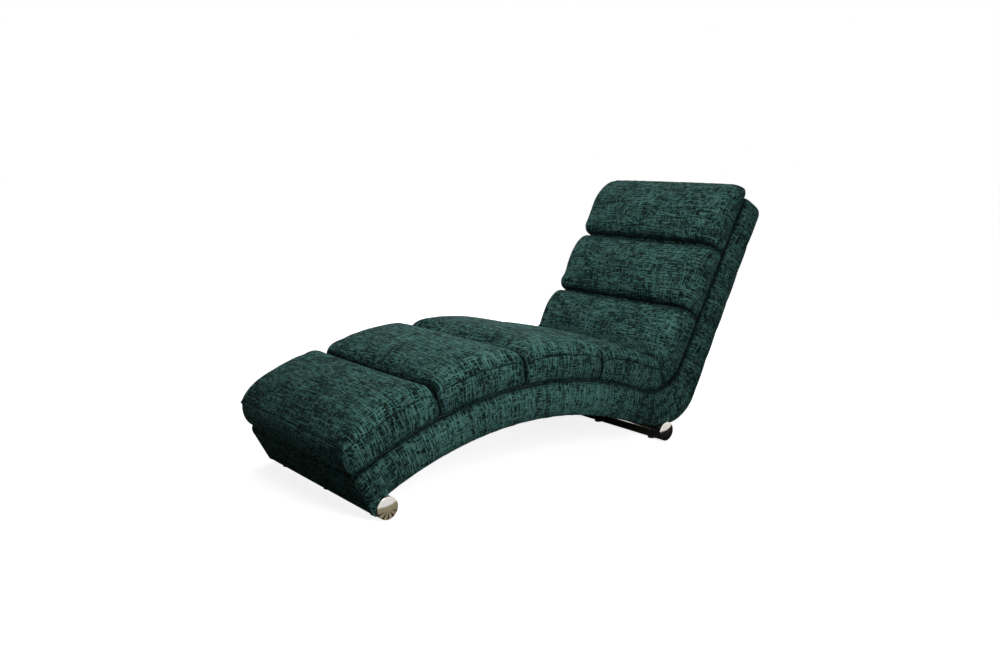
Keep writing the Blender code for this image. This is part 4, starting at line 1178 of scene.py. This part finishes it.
@dataclass
class BaseUpholstery:
    """The arched base's covers: padded side panels, back cover, foot end cover and dust cloth."""

    line: SeatLine
    board_face: float = 0.2803  # from the middle to the outside of the side boards
    voxel: float = 0.005
    rounds: int = 4  # of smoothing after the remesh
    soft_rounds: int = 3  # of the outer face alone
    pin_reach: float = 0.002  # from the boards, within which the panels are held
    most_swell: float = 0.010
    edge_fill: float = 0.003  # by which the side panels' edges are stuffed outwards
    join_reach: float = 0.016  # under the pads, over which the side panels get painted shade
    painted_light_foot: float = 0.03  # painted light at the foot end
    painted_light_arch: float = 0.26  # painted light along the arch
    painted_shade_heel: float = -0.27  # painted shade round the heel
    painted_shade_back: float = -0.05  # painted shade up the back
    painted_light_runs: tuple = (0.25, 0.07, 0.20)  # lengths over which it turns from one to the next
    weave_depth: float = 0.060  # depth under the seat line at which the yarns keep their true length
    cell: float = 0.008
    cover_half: float = 0.2801
    cover_wall: float = 0.004
    clearance: float = 0.0005
    panel_shift: tuple = (7.0, 4.0)  # metres by which the panels show another part of the weave
    cover_shift: float = 11.0
    panels: dict[Side, Object] = field(default_factory=dict)

    def build_panels(self) -> None:
        """Makes the near side panel's form from the frame, with its inner face pinned."""
        form = copy_of_node("side_cover_near", "side_form")
        obj = copy_of_node("side_cover_near", "side_panel_near")
        obj.data.remesh_voxel_size = self.voxel
        select_only(obj)
        bpy.ops.object.voxel_remesh()
        apply_modifier(obj, "SMOOTH", factor=0.5, iterations=self.rounds)
        apply_modifier(obj, "SHRINKWRAP", target=form)
        bpy.data.objects.remove(form, do_unlink=True)
        inner = np.abs(points_of(obj)[:, 1]) < self.board_face + self.pin_reach
        add_group(obj, PIN, inner)
        add_group(obj, "soft", ~inner)
        apply_modifier(obj, "SMOOTH", factor=0.5, iterations=self.soft_rounds, vertex_group="soft")
        filled = points_of(obj, "normal") * (self.edge_fill, 0.0, self.edge_fill) * ~inner[:, None]
        move_points(obj, points_of(obj) + filled)
        self.panels[Side.NEAR] = obj

    def finish_panels(self, fabric: Material) -> None:
        """Refines the near side panel, mirrors it for the far side and dresses both.

        Args:
            fabric: the cover's material.
        """
        near = self.panels[Side.NEAR]
        apply_modifier(near, "SUBSURF", levels=1, render_levels=1)
        near.vertex_groups.clear()
        far = add_object("side_panel_far", near.data.copy())
        move_points(far, points_of(far) * (1, -1, 1))
        edit_all(far, bpy.ops.mesh.flip_normals)
        self.panels[Side.FAR] = far
        for side, obj in self.panels.items():
            points = points_of(obj)
            along, height = self.line.measure(points[:, 0], points[:, 2])
            stretch = self._stretch(along)
            round_edge = np.abs(points[:, 1]) - self.board_face
            # painted shade under the pads' edges, and painted light and shade along the panels
            set_point_values(obj, CREASE, np.clip(1 + height / self.join_reach, 0, 1))
            set_point_values(obj, PAINTED_LIGHT_AND_SHADE, self._painted_light_and_shade(along))
            corners, _ = corner_points(obj)
            across = height - round_edge * np.sign(height + self.weave_depth)
            shift, side_shift = self.panel_shift
            set_weave(obj, across[corners] + shift, stretch[corners] + side.value * side_shift)
            select_only(obj)
            bpy.ops.object.shade_smooth()
            stand_in(obj, fabric, "teal_fabric", f"side_cover_{side.name.lower()}")

    def _painted_light_and_shade(self, along: np.ndarray) -> np.ndarray:
        """Painted light and shade on the side panels: by how much they are lightened, at lengths along the
        seat line.
        """
        heel, back = self.line.leg_length, self.line.back_from
        rise, turn, end = self.painted_light_runs
        stops = (0.0, rise, heel - turn, heel, back, back + end)
        tones = (self.painted_light_foot, self.painted_light_arch, self.painted_light_arch, self.painted_shade_heel, self.painted_shade_heel, self.painted_shade_back)
        return np.interp(along, stops, tones)

    def _stretch(self, along: np.ndarray) -> np.ndarray:
        """Lengths along the seat line as they are at the middle of the base's depth."""
        line = self.line
        leg = np.minimum(along, line.leg_length) * (1 - self.weave_depth / line.leg_radius)
        dip = np.clip(along - line.leg_length, 0, line.back_from - line.leg_length)
        back = np.maximum(along - line.back_from, 0)
        return leg + dip * (1 + self.weave_depth / line.dip_radius) + back

    def _cover(self, name: str, line: list[Vector]) -> Object:
        """A sheet bent along a line of the base's outline, with its wall towards the base.

        Args:
            name: of the object.
            line: points of the outside, which runs clockwise or anticlockwise.

        Returns:
            The sheet, with its yarns laid.
        """
        points = np.array([tuple(point) for point in line])
        travel = np.concatenate([[0], np.cumsum(np.linalg.norm(np.diff(points, axis=0), axis=1))])
        counts = [round(size / self.cell) for size in (travel[-1], 2 * self.cover_half)]
        obj = add_grid(name, counts)
        grid = points_of(obj)
        along = (grid[:, 0] + 0.5) * travel[-1]
        across = grid[:, 1] * 2 * self.cover_half
        x, z = (np.interp(along, travel, points[:, axis]) for axis in (0, 1))
        corners, _ = corner_points(obj)
        set_weave(obj, across[corners], along[corners] + self.cover_shift)
        for tube in ("front_tube", "rear_tube"):
            centre_x, _, centre_z = middle_of(tube)
            away = np.hypot(x - centre_x, z - centre_z)
            push = np.maximum(1, (self.line.tube_radius + self.clearance) / away)
            x, z = centre_x + (x - centre_x) * push, centre_z + (z - centre_z) * push
        move_points(obj, np.stack([x, across, z], -1))
        middle = obj.data.polygons[len(obj.data.polygons) // 2]
        inside = Vector((self.line.leg_centre.x, 0.0, middle.center.z))
        outward = middle.center - inside if name != "underside_cloth" else Vector((0.0, 0.0, -1.0))
        if middle.normal.dot(outward) < 0:
            edit_all(obj, bpy.ops.mesh.flip_normals)
        apply_modifier(obj, "SOLIDIFY", thickness=self.cover_wall, offset=-1.0)
        return obj

    def build_covers(self, fabric: Material, dust: Material) -> None:
        """Makes the back cover, the foot end cover and the dust cloth.

        Args:
            fabric: of the first two.
            dust: of the cloth under the base.
        """
        outline = BaseLine(self.line)
        for node, name, line, material, slot in (
            ("back_cover", "back_panel", outline.back(), fabric, "teal_fabric"),
            ("foot_end_cover", "foot_end_panel", outline.foot_end(), fabric, "teal_fabric"),
            ("dust_cloth", "underside_cloth", outline.under(), dust, "dust_cloth"),
        ):
            obj = self._cover(name, line)
            smooth_shading(obj)
            stand_in(obj, material, slot, node)


@dataclass
class TubeFoot:
    """A plated tube across the base, with domed end caps and plastic glides."""

    side: str
    radius: float = 0.030
    wall: float = 0.002
    length: float = 0.598
    sides: int = 96
    rim: float = 0.0023
    dome: float = 0.004
    rings: int = 10
    plug: float = 0.016
    glide_radius: float = 0.012
    glide_height: float = 0.004
    glide_chamfer: float = 0.001
    stem_radius: float = 0.0075
    tube_bevel: float = 0.0004
    cap_bevel: float = 0.0003
    fit: float = 0.0003  # room between a cap or a glide and the tube
    hug_length: float = 0.1  # of the cutter that gives a glide the tube's curve

    def _cylinder(
        self, name: str, radius: float, depth: float, place: np.ndarray, lying: bool, filled: bool
    ) -> Object:
        """A cylinder with its place in its mesh.

        Args:
            name: of the object.
            radius: of the cylinder.
            depth: its length.
            place: its middle.
            lying: along Y, and not upright.
            filled: with end faces.

        Returns:
            The object.
        """
        bpy.ops.object.select_all(action="DESELECT")
        bpy.ops.mesh.primitive_cylinder_add(
            vertices=self.sides,
            radius=radius,
            depth=depth,
            location=tuple(place),
            rotation=(math.pi / 2 if lying else 0.0, 0.0, 0.0),
            end_fill_type="NGON" if filled else "NOTHING",
        )
        obj = bpy.context.object
        obj.name = obj.data.name = name
        bpy.ops.object.transform_apply(location=True, rotation=True, scale=True)
        return obj

    def build_tube(self, plating: Material) -> None:
        """The tube, with its wall and softened rims."""
        name = f"{self.side}_tube"
        obj = self._cylinder(f"{name}_plated", self.radius, self.length, middle_of(name), True, False)
        apply_modifier(obj, "SOLIDIFY", thickness=self.wall, offset=-1.0)
        apply_modifier(obj, "BEVEL", width=self.tube_bevel, segments=2, limit_method="ANGLE")
        smooth_shading(obj)
        stand_in(obj, plating, "chrome", name)

    def build_cap(self, side: Side, plating: Material) -> None:
        """A domed cap with its plug in the tube's end.

        Args:
            side: the end of the tube.
            plating: its finish.
        """
        node = f"{self.side}_cap_{side.name.lower()}"
        centre = middle_of(f"{self.side}_tube")
        end = side.value * self.length / 2
        place = np.array([centre[0], end + side.value * self.rim / 2, centre[2]])
        obj = self._cylinder(f"{node}_plated", self.radius, self.rim, place, True, True)
        bpy.ops.object.mode_set(mode="EDIT")
        self._select_end(obj, side.value, outer=True)
        for step in range(self.rings, 1, -1):
            rise = self.dome * (step**2 - (step - 1) ** 2) / self.rings**2
            bpy.ops.mesh.inset(thickness=self.radius / self.rings, depth=rise)
        bpy.ops.mesh.poke(offset=0.0)
        self._select_end(obj, side.value, outer=False)
        bpy.ops.mesh.inset(thickness=self.wall + self.fit, depth=0.0)
        push = (0.0, -side.value * self.plug, 0.0)
        bpy.ops.mesh.extrude_region_move(TRANSFORM_OT_translate={"value": push})
        bpy.ops.object.mode_set(mode="OBJECT")
        apply_modifier(obj, "BEVEL", width=self.cap_bevel, segments=2, limit_method="ANGLE")
        corners, _ = corner_points(obj)
        x, _, z = (points_of(obj) - centre)[corners].T
        set_weave(obj, x, z)
        smooth_shading(obj)
        stand_in(obj, plating, "chrome", node)

    @staticmethod
    def _select_end(obj: Object, sign: int, outer: bool) -> None:
        """Selects the cap's end face that looks away from the tube, or into it."""
        bpy.ops.mesh.select_mode(type="FACE")
        bpy.ops.mesh.select_all(action="DESELECT")
        bpy.ops.object.mode_set(mode="OBJECT")
        way = sign if outer else -sign
        for face in obj.data.polygons:
            face.select = face.normal.y * way > 0.999
        bpy.ops.object.mode_set(mode="EDIT")

    def build_glide(self, number: int, plastic: Material) -> None:
        """A glide that hugs the tube, with its stem in the tube's wall.

        Args:
            number: of the glide along the tube.
            plastic: its finish.
        """
        node = f"{self.side}_glide_{number}"
        centre = middle_of(f"{self.side}_tube")
        low, high = (np.array(corner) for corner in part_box(node))
        top = centre[2] - math.sqrt(self.radius**2 - self.glide_radius**2)
        middle = (low + high) / 2
        place = np.array([middle[0], middle[1], (low[2] + top) / 2])
        obj = self._cylinder(f"{node}_moulded", self.glide_radius, top - low[2], place, False, True)
        apply_modifier(obj, "BEVEL", width=self.glide_chamfer, segments=3, limit_method="ANGLE")
        place = np.array([centre[0], middle[1], centre[2]])
        hug = self._cylinder("hug", self.radius + self.fit, self.hug_length, place, True, True)
        apply_modifier(obj, "BOOLEAN", operation="DIFFERENCE", object=hug, solver="EXACT")
        bpy.data.objects.remove(hug, do_unlink=True)
        foot = low[2] + self.glide_height / 2
        place = np.array([middle[0], middle[1], (foot + high[2]) / 2])
        stem = self._cylinder("stem", self.stem_radius, high[2] - foot, place, False, True)
        apply_modifier(obj, "BOOLEAN", operation="UNION", object=stem, solver="EXACT")
        bpy.data.objects.remove(stem, do_unlink=True)
        smooth_shading(obj)
        stand_in(obj, plastic, "black_plastic", node)


class InnerFrame:
    """The pieces under the covers, which keep the frame's own shapes."""

    def dress(self, finishes: dict[str, Material]) -> None:
        """Gives every node that still shows its finish.

        Args:
            finishes: the materials, by the word in a node's name.
        """
        for name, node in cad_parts.items():
            for word, material in finishes.items():
                if word in name and not node.hide_render:
                    dress(node, material)


@dataclass
class Studio:
    """Camera, lights and a pale floor."""

    camera_place: tuple = (-1.8604, -2.1964, 0.9036)
    camera_turn: float = 0.68349  # from +Y towards +X
    camera_tilt: float = 0.19134  # down
    focal_pixels: float = 949.1
    picture_width: int = 1000
    sensor: float = 36.0
    floor_size: float = 60.0
    floor_white: float = 0.85  # part of the floor's white that no shadow reaches
    floor_shade: float = 0.80  # how much of the lights the floor gives back to the camera
    floor_bounce: float = 0.10
    floor_mirrored: tuple = (0.46, 0.40, 0.28)  # painted reflection: a warm floor, darker than the white beyond, close to the foot end, in reflections
    floor_painted_shadow: tuple = (0.03, 0.03, 0.03)  # painted shadow, in reflections, under the object and close to the head end
    painted_shadow_from: tuple = (-0.40, 0.20)  # X, over which the painted shadow sets in
    painted_shadow_edge: tuple = (0.275, 0.310)  # from the middle, inside which the painted shadow lies
    mirrored_reach: tuple = (0.420, 0.490)  # from the middle, where the reflected floor's painted shade ends and it turns white
    light_target: tuple = (0.0, 0.0, 0.3)
    lamp_size: float = 0.8

    def build_camera(self) -> None:
        """Sets the camera at the photograph's view."""
        data = bpy.data.cameras.new("camera")
        data.sensor_fit = "HORIZONTAL"
        data.sensor_width = self.sensor
        data.lens = self.focal_pixels / self.picture_width * self.sensor
        camera = add_object("camera", data)
        camera.location = self.camera_place
        camera.rotation_euler = (math.pi / 2 - self.camera_tilt, 0.0, -self.camera_turn)
        bpy.context.scene.camera = camera

    def build_floor(self) -> None:
        """A floor that the camera sees as white, with the object's soft shadow, and that shows painted
        shadow and shade in reflections.
        """
        bpy.ops.object.select_all(action="DESELECT")
        bpy.ops.mesh.primitive_plane_add(size=self.floor_size)
        floor = bpy.context.object
        floor.name = "floor"
        material = bpy.data.materials.new("pale_floor")
        graph = Graph(material)
        path = graph.node("ShaderNodeLightPath").outputs
        dull, pale = (
            graph.shader("ShaderNodeBsdfDiffuse", {"Color": (level, level, level, 1.0)})
            for level in (self.floor_bounce, self.floor_shade)
        )
        white = graph.shader("ShaderNodeEmission", {"Strength": self.floor_white})
        lit = graph.shader("ShaderNodeAddShader", {0: pale, 1: white})
        # in reflections: painted shadow under the object and towards the head end, a painted warm shade near
        # the foot end, white further out
        x, y, _ = graph.place()
        close = x.ramp(*self.painted_shadow_from).most(1 - y.size().ramp(*self.painted_shadow_edge))
        tint = graph.mix(close, self.floor_mirrored, self.floor_painted_shadow)
        warm = graph.shader("ShaderNodeBsdfDiffuse", {"Color": tint})
        away = y.size().ramp(*self.mirrored_reach)
        mirrored = graph.shader("ShaderNodeMixShader", {0: away, 1: warm, 2: white})
        unseen = graph.shader("ShaderNodeMixShader", {0: path["Is Glossy Ray"], 1: dull, 2: mirrored})
        mixed = graph.shader("ShaderNodeMixShader", {0: path["Is Camera Ray"], 1: unseen, 2: lit})
        graph.node("ShaderNodeOutputMaterial", None, {"Surface": mixed})
        dress(floor, material)

    def build_world(self) -> None:
        """A surround that is white for the camera and for reflections, and dark for all other light."""
        world = bpy.data.worlds.new("surround")
        bpy.context.scene.world = world
        graph = Graph(world)
        path = graph.node("ShaderNodeLightPath")
        kinds = ("Is Camera Ray", "Is Glossy Ray", "Is Transmission Ray")
        seen, mirrored, through = (Value(graph, path.outputs[kind]) for kind in kinds)
        level = seen + mirrored + through
        surround = graph.shader("ShaderNodeBackground", {"Color": (1.0, 1.0, 1.0, 1.0), "Strength": level})
        graph.node("ShaderNodeOutputWorld", None, {"Surface": surround})

    def _add_light(self, name: str, kind: str, power: float, place: tuple) -> bpy.types.Light:
        """A light that looks from its place towards the object.

        Args:
            name: of the light.
            kind: its type.
            power: watts, or watts for each square metre of a sun.
            place: of the light.

        Returns:
            The light's settings.
        """
        data = bpy.data.lights.new(name, kind)
        data.energy = power
        light = add_object(name, data)
        light.location = place
        away = Vector(place) - Vector(self.light_target)
        light.rotation_euler = away.to_track_quat("Z", "Y").to_euler()
        return data

    def build_lights(self) -> None:
        """A wide soft sky, two square lamps over the seat and on the near side, and a fill from behind."""
        self._add_light("sky", "SUN", 0.6, (0.0, 0.0, 3.0)).angle = math.radians(60)
        self._add_light("seat_lamp", "AREA", 5.2, (-0.12, -0.2, 1.5)).size = self.lamp_size
        self._add_light("near_lamp", "AREA", 13.0, (-0.6, -1.6, 0.9)).size = self.lamp_size
        self._add_light("rear_lamp", "AREA", 14.0, (1.5, 1.7, 1.1)).size = 2 * self.lamp_size

    def build(self) -> None:
        """Sets up the whole studio."""
        self.build_camera()
        self.build_floor()
        self.build_world()
        self.build_lights()
        bpy.context.scene.view_settings.view_transform = "Standard"


def main() -> None:
    """Builds the chaise longue's pieces in order, and the studio round it."""
    logging.basicConfig(level=logging.INFO, format="%(name)s: %(message)s")
    fabric = WovenFabric().material()
    plating = Plating().material()
    cap_plating = Plating("cap_plating", rays=11).material()
    plastic = MouldedPlastic().material()
    line = SeatLine()
    pads = PadRow(line).build()
    base = BaseUpholstery(line)
    base.build_panels()
    swelling = {pad.obj: pad.most_swell for pad in pads}
    swelling[base.panels[Side.NEAR]] = base.most_swell
    ClothPuff().run(swelling)
    for pad in pads:
        pad.finish(fabric)
        LOG.info("%s has %d faces", pad.name, len(pad.obj.data.polygons))
    base.finish_panels(fabric)
    base.build_covers(fabric, NonwovenCloth("dust_cloth", (0.010, 0.010, 0.011)).material())
    for side in ("front", "rear"):
        foot = TubeFoot(side)
        foot.build_tube(plating)
        for end in Side:
            foot.build_cap(end, cap_plating)
        for number in (1, 2, 3):
            foot.build_glide(number, plastic)
        LOG.info("%s foot made", side)
    wood = Plywood().material()
    InnerFrame().dress(
        {
            "board": wood,
            "rail": wood,
            "deck": NonwovenCloth("lining", (0.016, 0.017, 0.017)).material(),
            "spring": PlainSteel("spring_steel", (0.35, 0.35, 0.36), (0.20, 0.18, 0.16), 0.32).material(),
            "bolt": PlainSteel("zinc", (0.60, 0.61, 0.63), (0.46, 0.46, 0.45), 0.30).material(),
            "strap": StrapWebbing().material(),
        }
    )
    Studio().build()


if __name__ == "__main__":
    main()
